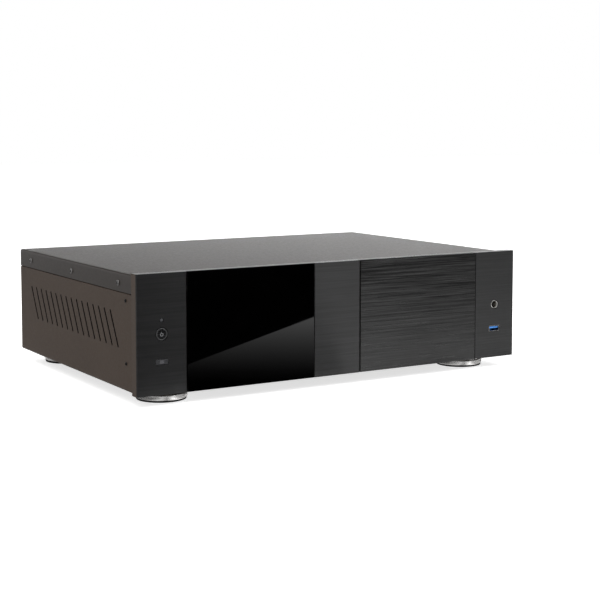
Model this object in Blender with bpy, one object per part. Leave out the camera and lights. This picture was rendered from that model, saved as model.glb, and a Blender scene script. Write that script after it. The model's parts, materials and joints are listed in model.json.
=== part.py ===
"""Full-width media player with a pull-out tray for two hard drives.

Metres, +Z up. The front faces -Y and the feet stand on Z = 0, below the middle of the case.
"""

import math

import bmesh
import bpy
from mathutils import Vector

# Fits shared by every piece
gap = 0.0003
overrun = 0.002

# Roundness of turned pieces, holes and corners
round_sides = 24
hole_sides = 20
small_sides = 10
corner_steps = 3
slot_steps = 4

# Whole case
panel_height = 0.110
panel_thickness = 0.010
chassis_depth = 0.290
side_set_in = 0.002
cover_set_down = 0.002
chassis_raise = 0.001
foot_height = 0.012
connector_reach = 0.008

# Sheet metal
chassis_sheet = 0.0012
cover_sheet = 0.0012
rear_sheet = 0.0012
bend_inner_radius = 0.0008
cover_flange = 0.0173
seam_gap = 0.0009
seam_drop = 0.0009
rear_flange = 0.009

# Front panel
pillar_width = 0.050
centre_pillar_width = 0.0523
glass_bay_width = 0.1353
panel_chamfer = 0.0008
glass_thickness = 0.002
fascia_thickness = 0.0057
fascia_chamfer = 0.0004
finger_gap = 0.0018
lamp_rise = 0.0126
port_drop = 0.025
button_radius = 0.0055
button_ring = 0.0008
button_dish = 0.0006
button_travel = 0.001
button_flange = 0.001
button_flange_overlap = 0.0012
lamp_radius = 0.0015
remote_window_width = 0.012
remote_window_height = 0.0046
remote_window_corner = 0.0008
remote_flange = 0.0012
remote_flange_overlap = 0.0015
jack_bore_radius = 0.003175
jack_nose_radius = 0.0044
jack_nose_clearance = 0.0005
jack_body_size = 0.015
jack_body_depth = 0.024
jack_back_wall = 0.002
usb_width = 0.0131
usb_height = 0.0057
usb_wall = 0.0003
usb_shell_length = 0.018
usb_set_back = 0.0004
usb_rim = 0.0008
usb_plug_depth = 0.009
usb_tongue_thickness = 0.0018
usb_tongue_rise = 0.0009
usb_tongue_side = 0.0005

# Boards behind the panel
board_thickness = 0.0016
boss_height = 0.0043
boss_radius = 0.003
boss_inset = 0.006
front_board_side_inset = 0.015
front_board_margin = 0.016
display_side_margin = 0.0104
display_height = 0.044
display_pocket_margin = 0.006
display_pocket_depth = 0.001
switch_size = 0.0062
receiver_width = 0.007
receiver_height = 0.006
jack_board_width = 0.030
jack_board_margin = 0.010

# Brackets and their screws
bracket_sheet = 0.0015
bracket_reach = 0.022
bracket_width = 0.010
bracket_margin = 0.012
bracket_screw_set_back = 0.0162
bracket_screw_top_drop = 0.0228
bracket_screw_bottom_rise = 0.0254

# Screws
small_head_radius = 0.0017
small_head_height = 0.0008
small_shank_radius = 0.0012
pan_head_radius = 0.0028
pan_head_height = 0.0012
pan_shank_radius = 0.0015
pan_shank_length = 0.004
crown_share = 0.6

# Cover screws
cover_screw_drop = 0.0095
cover_screw_end_inset = 0.0324

# Side vents
vent_count = 16
vent_pitch = 0.0137
vent_first_top = 0.0516
vent_height = 0.0337
vent_lean = 0.0172
vent_width = 0.0026
vent_top_drop = 0.0359

# Floor vents
floor_vent_count = 9
floor_vent_pitch = 0.009
floor_vent_length = 0.060
floor_vent_width = 0.003

# Feet
foot_radius = 0.0242
foot_side_inset = 0.042
foot_front_inset = 0.038
foot_rear_inset = 0.030
foot_rim_height = 0.0066
foot_neck_radius = 0.012
foot_groove_depth = 0.0006
foot_groove_width = 0.0009
foot_groove_rise = 0.0021
foot_edge = 0.0005
pad_radius = 0.0228
pad_thickness = 0.0031
pad_proud = 0.0016
pad_edge = 0.0006
foot_stud_radius = 0.002
foot_stud_length = 0.005

# Hard drives
drive_width = 0.1016
drive_length = 0.147
drive_height = 0.0261
drive_corner = 0.003
drive_board_thickness = 0.0012
drive_board_share = 0.62
drive_cover_sheet = 0.0012
drive_cover_inset = 0.0012
drive_bulge = 0.0006
drive_bulge_radius = 0.0465
drive_bulge_set_back = 0.051
drive_notch_width = 0.044
drive_notch_depth = 0.006
drive_notch_height = 0.009
drive_side_clearance = 0.0007
drive_spacing = 0.006

# Drive tray and its runners
sled_sheet = 0.0012
sled_wall_above = 0.016
sled_front_space = 0.004
sled_rear_space = 0.003
sled_ledge_width = 0.006
sled_ledge_length = 0.025
sled_slot_length = 0.080
sled_slot_width = 0.014
runner_sheet = 0.0012
runner_clearance = 0.0004
runner_height = 0.032
runner_flange = 0.0058
runner_length = 0.150
window_clearance = 0.0006
window_height_clearance = 0.003
window_side_margin = 0.0090

# Drive cage and backplane
cage_sheet = 0.0012
cage_cover_space = 0.010
cage_rear_window_width = 0.080
cage_rear_window_height = 0.040
socket_length = 0.010
socket_slot_height = 0.0018
socket_slot_depth = 0.004
backplane_width = 0.090

# Boards inside the case
standoff_height = 0.006
standoff_radius = 0.003
standoff_inset = 0.005
main_board_cage_space = 0.0079
main_board_depth = 0.190
main_board_rear_space = 0.002
processor_size = 0.030
processor_height = 0.002
memory_width = 0.010
memory_length = 0.013
memory_height = 0.0012
memory_count = 4
memory_spacing = 0.006
heat_sink_size = 0.060
heat_sink_base = 0.004
heat_sink_height = 0.022
fin_count = 9
fin_thickness = 0.0016
power_board_side_space = 0.0108
power_board_width = 0.095
power_board_spacing = 0.0095
power_board_depth = 0.150
power_board_rear_space = 0.045
transformer_width = 0.036
transformer_depth = 0.030
transformer_height = 0.028
transformer_limb = 0.009
transformer_winding_set_in = 0.003
capacitor_radius = 0.011
capacitor_height = 0.032
small_capacitor_radius = 0.005
small_capacitor_height = 0.018
capacitor_edge = 0.001
power_part_margin = 0.012

# Fan
fan_size = 0.060
fan_depth = 0.015
fan_corner = 0.004
fan_rim = 0.0015
fan_tip_clearance = 0.001
fan_hub_radius = 0.0125
fan_motor_depth = 0.002
fan_strut_width = 0.003
fan_strut_count = 4
fan_blade_count = 7
fan_blade_thickness = 0.0012
fan_blade_sweep = 34
fan_rear_space = 0.0015
fan_pin_radius = 0.0015
fan_pin_length = 0.006
grille_slot_width = 0.0035
grille_slot_pitch = 0.0065
grille_slot_count = 7
fan_screw_inset = 0.005

# Mains inlet and switch
mains_rise = 0.030
inlet_side_inset = 0.0303
inlet_width = 0.0270
inlet_height = 0.0195
inlet_depth = 0.018
inlet_flange = 0.0024
inlet_flange_overlap = 0.0020
inlet_cavity_width = 0.0245
inlet_cavity_height = 0.0166
inlet_cavity_depth = 0.0165
inlet_corner = 0.004
inlet_small_corner = 0.001
mains_pin_width = 0.002
mains_pin_height = 0.004
mains_pin_length = 0.012
mains_pin_pitch = 0.007
mains_earth_rise = 0.002
switch_spacing = 0.040
switch_width = 0.0126
switch_height = 0.0194
switch_depth = 0.016
switch_flange = 0.0018
switch_flange_overlap = 0.0010
switch_corner = 0.001
rocker_side_clearance = 0.0004
rocker_half_length = 0.0072
rocker_end_clearance = 0.0012
rocker_tilt = 9
rocker_end_height = 0.0056
rocker_middle_height = 0.0042
rocker_shoulder_height = 0.0015
rocker_foot_depth = 0.0025
rocker_foot_half_length = 0.0025
rocker_side_wall = 0.0013
rocker_floor_space = 0.001

# Rear connectors, left to right on the main board
port_margin = 0.003
port_spacing = 0.012
hdmi_width = 0.0150
hdmi_height = 0.0056
hdmi_wall = 0.0005
hdmi_depth = 0.012
hdmi_chamfer = 0.0018
hdmi_tongue_width = 0.0105
hdmi_tongue_thickness = 0.0010
lan_width = 0.0160
lan_height = 0.0135
lan_depth = 0.021
lan_cavity_width = 0.0118
lan_cavity_height = 0.0072
lan_cavity_depth = 0.013
lan_cavity_rise = 0.0030
lan_latch_width = 0.0060
lan_latch_depth = 0.0014
usb_stack_height = 0.0156
usb_stack_shares = (0.25, 0.75)
audio_width = 0.030
audio_height = 0.013
audio_depth = 0.014
audio_pitch = 0.014
audio_sleeve_radius = 0.0042
audio_sleeve_hole_radius = 0.0017
audio_collar_radius = 0.0055
audio_collar_thickness = 0.001

# Widths of the tray, its runners and the bays, which add up to the panel's
sled_inner_half = drive_width / 2 + drive_side_clearance
sled_half = sled_inner_half + sled_sheet
inner_runner_depth = runner_flange + runner_sheet
outer_step = runner_sheet + runner_clearance
runner_depth = 2 * outer_step + inner_runner_depth
cage_inner_half = sled_half + gap + runner_depth + gap
cage_half = cage_inner_half + cage_sheet
window_half = cage_inner_half - gap - outer_step + window_clearance
fascia_bay_width = 2 * (window_half + window_side_margin)
bays_width = glass_bay_width + centre_pillar_width + fascia_bay_width
panel_width = 2 * pillar_width + bays_width

# Places worked out from the sizes above
overall_depth = panel_thickness + chassis_depth + connector_reach
front_y = -overall_depth / 2
panel_back_y = front_y + panel_thickness
rear_y = panel_back_y + chassis_depth
chassis_bottom = foot_height
panel_bottom = chassis_bottom - chassis_raise
panel_top = panel_bottom + panel_height
panel_middle = (panel_bottom + panel_top) / 2
cover_top = panel_top - cover_set_down
cover_half = panel_width / 2 - side_set_in
chassis_half = cover_half - cover_sheet - gap
chassis_inner_half = chassis_half - chassis_sheet
side_half = cover_half
side_inner_half = side_half - chassis_sheet
seam_z = cover_top - cover_flange
shoulder_z = seam_z - seam_gap
step_z = seam_z - gap
chassis_top = cover_top - cover_sheet - gap
floor_z = chassis_bottom + chassis_sheet
case_front_y = panel_back_y + gap
rear_panel_front_y = rear_y - rear_sheet
rear_room_y = rear_panel_front_y - gap

# Front panel bays
glass_left = -panel_width / 2 + pillar_width
glass_right = glass_left + glass_bay_width
display_width = glass_bay_width - 2 * display_side_margin
bay_left = glass_right + centre_pillar_width
bay_right = bay_left + fascia_bay_width
bay_x = (bay_left + bay_right) / 2
glass_floor_y = front_y + glass_thickness + gap
fascia_floor_y = front_y + fascia_thickness + gap
left_control_x = -panel_width / 2 + pillar_width / 2
right_control_x = panel_width / 2 - pillar_width / 2
lamp_z = panel_middle + lamp_rise
port_z = panel_middle - port_drop
front_board_y = panel_back_y + boss_height + gap
front_board_left = -panel_width / 2 + front_board_side_inset
front_board_right = glass_right - front_board_side_inset / 2
front_board_low = panel_bottom + front_board_margin
front_board_high = panel_top - front_board_margin
jack_board_y = case_front_y + jack_body_depth + gap
button_hole_radius = button_radius + button_ring

# Drive tray
stack_height = sled_sheet + gap + drive_height + drive_spacing + drive_height
sled_bottom = panel_middle - stack_height / 2
lower_drive_z = sled_bottom + sled_sheet + gap
upper_drive_z = lower_drive_z + drive_height + drive_spacing
stack_top = upper_drive_z + drive_height
sled_top = upper_drive_z + sled_wall_above
sled_front_y = fascia_floor_y
sled_wall_y = sled_front_y + sled_sheet
drive_front_y = sled_wall_y + sled_front_space
drive_rear_y = drive_front_y + drive_length
sled_rear_y = drive_rear_y + sled_rear_space
runner_z = (sled_bottom + sled_top) / 2
runner_front_y = case_front_y
runner_rear_y = runner_front_y + runner_length
window_bottom = sled_bottom - window_height_clearance
window_top = stack_top + window_height_clearance
cage_floor_z = floor_z + gap
cage_top = cover_top - cover_sheet - cage_cover_space
backplane_y = drive_rear_y + socket_length
cage_wall_y = backplane_y + board_thickness + gap
cage_rear_y = cage_wall_y + cage_sheet

# Boards in the case
board_z = floor_z + standoff_height + gap
board_top = board_z + board_thickness
power_board_left = -chassis_inner_half + power_board_side_space
power_board_x = power_board_left + power_board_width / 2
main_board_left = power_board_left + power_board_width + power_board_spacing
main_board_width = bay_x - cage_half - main_board_cage_space - main_board_left
main_board_x = main_board_left + main_board_width / 2
main_board_rear_y = rear_room_y - main_board_rear_space
main_board_front_y = main_board_rear_y - main_board_depth
power_board_rear_y = rear_room_y - power_board_rear_space
power_board_front_y = power_board_rear_y - power_board_depth
mains_z = chassis_bottom + mains_rise
inlet_x = -chassis_inner_half + inlet_side_inset
switch_x = inlet_x + switch_spacing

# Fan and grille
fan_x = bay_x
fan_z = (chassis_bottom + cover_top) / 2
fan_bore_radius = fan_size / 2 - fan_rim
fan_screw_pitch = fan_size - 2 * fan_screw_inset
fan_front_y = rear_room_y - fan_depth
rotor_front_y = fan_front_y + fan_motor_depth + gap
rotor_rear_y = rear_room_y - fan_rear_space


def arc(centre, radius, start, end, steps):
    """Points of an arc in degrees, both ends included."""
    points = []
    for step in range(steps + 1):
        angle = math.radians(start + (end - start) * step / steps)
        points.append((centre[0] + radius * math.cos(angle), centre[1] + radius * math.sin(angle)))
    return points


def rectangle(centre, width, height):
    """Outline of a plain rectangle."""
    left, right = centre[0] - width / 2, centre[0] + width / 2
    low, high = centre[1] - height / 2, centre[1] + height / 2
    return [(left, low), (right, low), (right, high), (left, high)]


def rounded_rectangle(centre, width, height, radius, steps=corner_steps):
    """Outline of a rectangle with round corners."""
    points = []
    for side_u, side_v, start in ((1, 1, 0), (-1, 1, 90), (-1, -1, 180), (1, -1, 270)):
        corner_u = centre[0] + side_u * (width / 2 - radius)
        corner_v = centre[1] + side_v * (height / 2 - radius)
        points += arc((corner_u, corner_v), radius, start, start + 90, steps)
    return points


def slot(start, end, width, steps=slot_steps):
    """Outline of a slot with round ends, between the centres of its ends."""
    heading = math.degrees(math.atan2(end[1] - start[1], end[0] - start[0]))
    far_end = arc(end, width / 2, heading - 90, heading + 90, steps)
    near_end = arc(start, width / 2, heading + 90, heading + 270, steps)
    return far_end + near_end


def circle(centre, radius, sides):
    """Outline of a circle."""
    return arc(centre, radius, 0, 360, sides)[:-1]


def channel(half_width, floor, edge, sheet, centre=0.0, wall_end=None):
    """Outline of a folded channel whose walls run from its floor to their edge, up or down.

    Wall_end gives the right wall's last points, outer face first, where it doesn't end plainly.
    """
    wall_end = wall_end or [(half_width, edge), (half_width - sheet, edge)]
    up = 1 if edge > floor else -1
    outer_radius = bend_inner_radius + sheet
    bend_z = floor + up * outer_radius
    outer_bend = half_width - outer_radius
    right_outer = arc((outer_bend, bend_z), outer_radius, -90 * up, 0, corner_steps)
    right_inner = arc((outer_bend, bend_z), bend_inner_radius, 0, -90 * up, corner_steps)
    right = right_outer + wall_end + right_inner
    left = [(-x, z) for x, z in reversed(right)]
    return [(centre + x, z) for x, z in right + left]


def add_prism(bm, outline, axis, start, end):
    """Extrude a flat outline along an axis; its points hold the other two axes in order."""
    def place(point, along):
        spot = list(point)
        spot.insert("XYZ".index(axis), along)
        return bm.verts.new(spot)

    near = [place(point, start) for point in outline]
    far = [place(point, end) for point in outline]
    bm.faces.new(near)
    bm.faces.new(reversed(far))
    for index, vertex in enumerate(near):
        after = (index + 1) % len(near)
        bm.faces.new((vertex, far[index], far[after], near[after]))


def add_box(bm, low, high):
    """A box between two opposite corners."""
    outline = [(low[0], low[1]), (high[0], low[1]), (high[0], high[1]), (low[0], high[1])]
    add_prism(bm, outline, "Z", low[2], high[2])


def add_turned(bm, profile, base, direction, sides):
    """Turn a profile of (radius, height) about the line through base; radius 0 is on the line."""
    along = Vector(direction).normalized()
    across = along.orthogonal().normalized()
    other = along.cross(across)
    rings = []
    for radius, height in profile:
        centre = Vector(base) + along * height
        if radius == 0:
            rings.append([bm.verts.new(centre)])
            continue
        ring = []
        for u, v in circle((0, 0), radius, sides):
            ring.append(bm.verts.new(centre + across * u + other * v))
        rings.append(ring)
    pairs = list(zip(rings, rings[1:]))
    if len(rings[0]) > 1 and len(rings[-1]) > 1:
        pairs.append((rings[-1], rings[0]))
    for upper, lower in pairs:
        for index in range(sides):
            after = (index + 1) % sides
            corners = [upper[index % len(upper)], upper[after % len(upper)]]
            corners += [lower[after % len(lower)], lower[index % len(lower)]]
            bm.faces.new(list(dict.fromkeys(corners)))


def add_cylinder(bm, base, direction, radius, height, sides):
    """A plain cylinder that starts at base."""
    add_turned(bm, [(0, 0), (radius, 0), (radius, height), (0, height)], base, direction, sides)


def add_screw(bm, seat, direction, head_radius, head_height, shank_radius, shank_length):
    """A crowned screw: its head stands on seat along direction, its shank runs the other way."""
    profile = [
        (0, head_height),
        (head_radius * crown_share, head_height),
        (head_radius, head_height * crown_share),
        (head_radius, 0),
        (shank_radius, 0),
        (shank_radius, -shank_length),
        (0, -shank_length),
    ]
    add_turned(bm, profile, seat, direction, small_sides)


def make_look(name, colour, roughness, metallic=0.0):
    """A plain material of one colour."""
    look = bpy.data.materials.new(name)
    look.use_nodes = True
    shader = look.node_tree.nodes["Principled BSDF"]
    shader.inputs["Base Color"].default_value = (*colour, 1.0)
    shader.inputs["Roughness"].default_value = roughness
    shader.inputs["Metallic"].default_value = metallic
    look.diffuse_color = (*colour, 1.0)
    return look


def make_object(name, bm, look, holder=None):
    """Turn a mesh in world places into an object, held by an empty when one is given."""
    bmesh.ops.recalc_face_normals(bm, faces=bm.faces)
    if holder:
        bmesh.ops.translate(bm, verts=bm.verts, vec=-holder.location)
    mesh = bpy.data.meshes.new(name)
    bm.to_mesh(mesh)
    bm.free()
    mesh.shade_smooth()
    mesh.set_sharp_from_angle(angle=math.radians(35))
    item = bpy.data.objects.new(name, mesh)
    bpy.context.scene.collection.objects.link(item)
    item.parent = holder
    if look:
        mesh.materials.append(look)
    return item


def combine(item, bm, operation):
    """Cut a shape out of an object or join it on, with a hidden helper object."""
    helper = make_object(f"{operation.lower()}_{item.name}_{len(item.modifiers)}", bm, None)
    helper.hide_render = True
    helper.display_type = 'WIRE'
    modifier = item.modifiers.new(operation.lower(), 'BOOLEAN')
    modifier.operation = operation
    modifier.solver = 'EXACT'
    modifier.object = helper


def cut(item, bm):
    combine(item, bm, 'DIFFERENCE')


def join(item, bm):
    combine(item, bm, 'UNION')


def make_holder(name, place):
    """An empty on the joint of a moving body."""
    holder = bpy.data.objects.new(name, None)
    holder.location = place
    bpy.context.scene.collection.objects.link(holder)
    return holder


def bracket_screw_heights():
    return (chassis_top - bracket_screw_top_drop, chassis_bottom + bracket_screw_bottom_rise)


def bracket_side_screw_y():
    return panel_back_y + bracket_screw_set_back


def front_board_bosses():
    places = []
    for x in (front_board_left + 2 * boss_inset, front_board_right - boss_inset):
        for z in (front_board_low + boss_inset, front_board_high - boss_inset):
            places.append((x, z))
    return places


def foot_places():
    x = panel_width / 2 - foot_side_inset
    front = front_y + foot_front_inset
    rear = rear_y - foot_rear_inset
    return [
        ("front_left", -x, front),
        ("front_right", x, front),
        ("rear_left", -x, rear),
        ("rear_right", x, rear),
    ]


def front_plate(look):
    """One thick plate: its full-height recesses take the glass and the tray fascia."""
    half = panel_width / 2
    bevel = panel_chamfer
    outline = [
        (-half, panel_back_y),
        (-half, front_y + bevel),
        (-half + bevel, front_y),
        (glass_left - bevel, front_y),
        (glass_left, front_y + bevel),
        (glass_left, glass_floor_y),
        (glass_right, glass_floor_y),
        (glass_right, front_y + bevel),
        (glass_right + bevel, front_y),
        (bay_left - bevel, front_y),
        (bay_left, front_y + bevel),
        (bay_left, fascia_floor_y),
        (bay_right, fascia_floor_y),
        (bay_right, front_y + bevel),
        (bay_right + bevel, front_y),
        (half - bevel, front_y),
        (half, front_y + bevel),
        (half, panel_back_y),
    ]
    bm = bmesh.new()
    add_prism(bm, outline, "Z", panel_bottom, panel_top)
    plate = make_object("front_plate", bm, look)

    bosses = bmesh.new()
    for x, z in front_board_bosses():
        base = (x, panel_back_y - overrun, z)
        add_cylinder(bosses, base, (0, 1, 0), boss_radius, boss_height + overrun, hole_sides)
    join(plate, bosses)

    before = front_y - overrun
    behind = panel_back_y + overrun
    holes = bmesh.new()
    display_centre = ((glass_left + glass_right) / 2, panel_middle)
    display_hole = rectangle(display_centre, display_width + 2 * gap, display_height + 2 * gap)
    add_prism(holes, display_hole, "Y", before, behind)
    tray_centre = (bay_x, (window_bottom + window_top) / 2)
    tray_hole = rectangle(tray_centre, 2 * window_half, window_top - window_bottom)
    add_prism(holes, tray_hole, "Y", before, behind)
    remote_hole = rounded_rectangle(
        (left_control_x, port_z),
        remote_window_width + 2 * gap,
        remote_window_height + 2 * gap,
        remote_window_corner + gap,
    )
    add_prism(holes, remote_hole, "Y", before, behind)
    usb_hole = rectangle((right_control_x, port_z), usb_width + 2 * gap, usb_height + 2 * gap)
    add_prism(holes, usb_hole, "Y", before, behind)
    round_holes = (
        (left_control_x, panel_middle, button_hole_radius),
        (left_control_x, lamp_z, lamp_radius + gap),
        (right_control_x, panel_middle, jack_nose_radius + jack_nose_clearance),
    )
    for x, z, radius in round_holes:
        add_prism(holes, circle((x, z), radius, round_sides), "Y", before, behind)
    cut(plate, holes)


def display_glass(look):
    bm = bmesh.new()
    low = (glass_left + gap, front_y, panel_bottom)
    high = (glass_right - gap, front_y + glass_thickness, panel_top)
    add_box(bm, low, high)
    make_object("display_glass", bm, look)


def display_module(look):
    """The display's frame, with a shallow pocket for its lit area."""
    centre = ((glass_left + glass_right) / 2, panel_middle)
    bm = bmesh.new()
    outline = rectangle(centre, display_width, display_height)
    add_prism(bm, outline, "Y", glass_floor_y, front_board_y - gap)
    module = make_object("display_module", bm, look)
    pocket = bmesh.new()
    pocket_width = display_width - 2 * display_pocket_margin
    pocket_height = display_height - 2 * display_pocket_margin
    pocket_outline = rectangle(centre, pocket_width, pocket_height)
    pocket_end = glass_floor_y + display_pocket_depth
    add_prism(pocket, pocket_outline, "Y", glass_floor_y - overrun, pocket_end)
    cut(module, pocket)


def front_board(look):
    """The board behind the panel, with the button's switch and the remote receiver on it."""
    bm = bmesh.new()
    back = front_board_y + board_thickness
    low = (front_board_left, front_board_y, front_board_low)
    add_box(bm, low, (front_board_right, back, front_board_high))
    board = make_object("front_board", bm, look)
    soldered = bmesh.new()
    buried = front_board_y + board_thickness / 2
    switch_front = panel_back_y + 2 * gap + button_flange + button_travel
    outline = rectangle((left_control_x, panel_middle), switch_size, switch_size)
    add_prism(soldered, outline, "Y", switch_front, buried)
    outline = rectangle((left_control_x, port_z), receiver_width, receiver_height)
    add_prism(soldered, outline, "Y", case_front_y + remote_flange + gap, buried)
    join(board, soldered)
    holes = bmesh.new()
    for x, z in front_board_bosses():
        outline = circle((x, z), pan_shank_radius, small_sides)
        add_prism(holes, outline, "Y", front_board_y - overrun, back + overrun)
    cut(board, holes)


def power_lamp(look):
    bm = bmesh.new()
    length = front_board_y - gap - front_y
    profile = [
        (0, 0),
        (lamp_radius * crown_share, 0),
        (lamp_radius, lamp_radius * (1 - crown_share)),
        (lamp_radius, length),
        (0, length),
    ]
    add_turned(bm, profile, (left_control_x, front_y, lamp_z), (0, 1, 0), hole_sides)
    make_object("power_lamp", bm, look)


def power_button(look):
    """A dished cap in the panel's round hole, kept in by a flange behind the panel."""
    holder = make_holder("power_button_axis", (left_control_x, front_y, panel_middle))
    flange_front = case_front_y - front_y
    flange_back = flange_front + button_flange
    flange_radius = button_hole_radius + button_flange_overlap
    edge = button_dish / 2
    profile = [
        (0, button_dish),
        (button_radius * crown_share, button_dish * (1 - crown_share)),
        (button_radius - edge, 0),
        (button_radius, edge),
        (button_radius, flange_front),
        (flange_radius, flange_front),
        (flange_radius, flange_back),
        (0, flange_back),
    ]
    bm = bmesh.new()
    add_turned(bm, profile, holder.location, (0, 1, 0), round_sides)
    make_object("power_button", bm, look, holder)


def remote_window(look):
    centre = (left_control_x, port_z)
    bm = bmesh.new()
    lens = rounded_rectangle(centre, remote_window_width, remote_window_height, remote_window_corner)
    add_prism(bm, lens, "Y", front_y, case_front_y + remote_flange / 2)
    window = make_object("remote_window", bm, look)
    flange = bmesh.new()
    flange_width = remote_window_width + 2 * remote_flange_overlap
    flange_height = remote_window_height + 2 * remote_flange_overlap
    outline = rectangle(centre, flange_width, flange_height)
    add_prism(flange, outline, "Y", case_front_y, case_front_y + remote_flange)
    join(window, flange)


def headphone_jack(look):
    """A square body behind the panel with a round nose through it, bored for a 6.3 mm plug."""
    centre = (right_control_x, panel_middle)
    bm = bmesh.new()
    outline = rectangle(centre, jack_body_size, jack_body_size)
    body_end = case_front_y + jack_body_depth
    add_prism(bm, outline, "Y", case_front_y, body_end)
    jack = make_object("headphone_jack", bm, look)
    nose = bmesh.new()
    nose_outline = circle(centre, jack_nose_radius, round_sides)
    add_prism(nose, nose_outline, "Y", front_y, case_front_y + jack_back_wall)
    join(jack, nose)
    bore = bmesh.new()
    bore_outline = circle(centre, jack_bore_radius, hole_sides)
    add_prism(bore, bore_outline, "Y", front_y - overrun, body_end - jack_back_wall)
    cut(jack, bore)


def front_usb(shell_look, insert_look):
    """A shell open at both ends round a plastic insert whose tongue carries the contacts."""
    centre = (right_control_x, port_z)
    shell_front = front_y + usb_set_back
    shell_end = shell_front + usb_shell_length
    bm = bmesh.new()
    add_prism(bm, rectangle(centre, usb_width, usb_height), "Y", shell_front, shell_end)
    shell = make_object("front_usb_shell", bm, shell_look)
    bore = bmesh.new()
    bore_width = usb_width - 2 * usb_wall
    bore_height = usb_height - 2 * usb_wall
    bore_outline = rectangle(centre, bore_width, bore_height)
    add_prism(bore, bore_outline, "Y", shell_front - overrun, shell_end + overrun)
    cut(shell, bore)

    block_front = shell_front + usb_rim + usb_plug_depth
    block = bmesh.new()
    block_outline = rectangle(centre, bore_width - 2 * gap, bore_height - 2 * gap)
    add_prism(block, block_outline, "Y", block_front, jack_board_y - gap)
    insert = make_object("front_usb_insert", block, insert_look)
    tongue = bmesh.new()
    tongue_centre = (centre[0], centre[1] + usb_tongue_rise)
    tongue_width = bore_width - 2 * gap - 2 * usb_tongue_side
    tongue_outline = rectangle(tongue_centre, tongue_width, usb_tongue_thickness)
    add_prism(tongue, tongue_outline, "Y", shell_front + usb_rim, block_front + overrun)
    join(insert, tongue)


def jack_board(look):
    bm = bmesh.new()
    low_z = port_z - jack_board_margin
    high_z = panel_middle + jack_board_margin
    low = (right_control_x - jack_board_width / 2, jack_board_y, low_z)
    high = (right_control_x + jack_board_width / 2, jack_board_y + board_thickness, high_z)
    add_box(bm, low, high)
    make_object("jack_board", bm, look)


def front_brackets(look):
    """An angle bracket a side, between the panel's back and the chassis wall."""
    low = chassis_bottom + bracket_margin
    high = shoulder_z - seam_drop - gap
    for side_name, side in (("left", -1), ("right", 1)):
        outer = side * (side_inner_half - gap)
        inner = outer - side * bracket_sheet
        tip = outer - side * bracket_width
        outline = [
            (outer, case_front_y),
            (outer, case_front_y + bracket_reach),
            (inner, case_front_y + bracket_reach),
            (inner, case_front_y + bracket_sheet),
            (tip, case_front_y + bracket_sheet),
            (tip, case_front_y),
        ]
        bm = bmesh.new()
        add_prism(bm, outline, "Z", low, high)
        bracket = make_object(f"{side_name}_front_bracket", bm, look)
        holes = bmesh.new()
        start, end = inner - side * overrun, side * (side_half + overrun)
        for height in bracket_screw_heights():
            place = (bracket_side_screw_y(), height)
            outline = circle(place, small_shank_radius + gap, small_sides)
            add_prism(holes, outline, "X", start, end)
        cut(bracket, holes)


def side_screws(look):
    """The dark screws that hold each chassis wall to its front bracket."""
    reach = gap + chassis_sheet + gap + bracket_sheet
    sizes = (small_head_radius, small_head_height, small_shank_radius, reach)
    for side_name, side in (("left", -1), ("right", 1)):
        for level, height in zip(("upper", "lower"), bracket_screw_heights()):
            bm = bmesh.new()
            seat = (side * (side_half + gap), bracket_side_screw_y(), height)
            add_screw(bm, seat, (side, 0, 0), *sizes)
            make_object(f"{side_name}_{level}_side_screw", bm, look)


def cover_screw_places():
    middle = (case_front_y + rear_y) / 2
    reach = (rear_y - panel_back_y) / 2 - cover_screw_end_inset
    return [middle - reach, middle, middle + reach]


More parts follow.
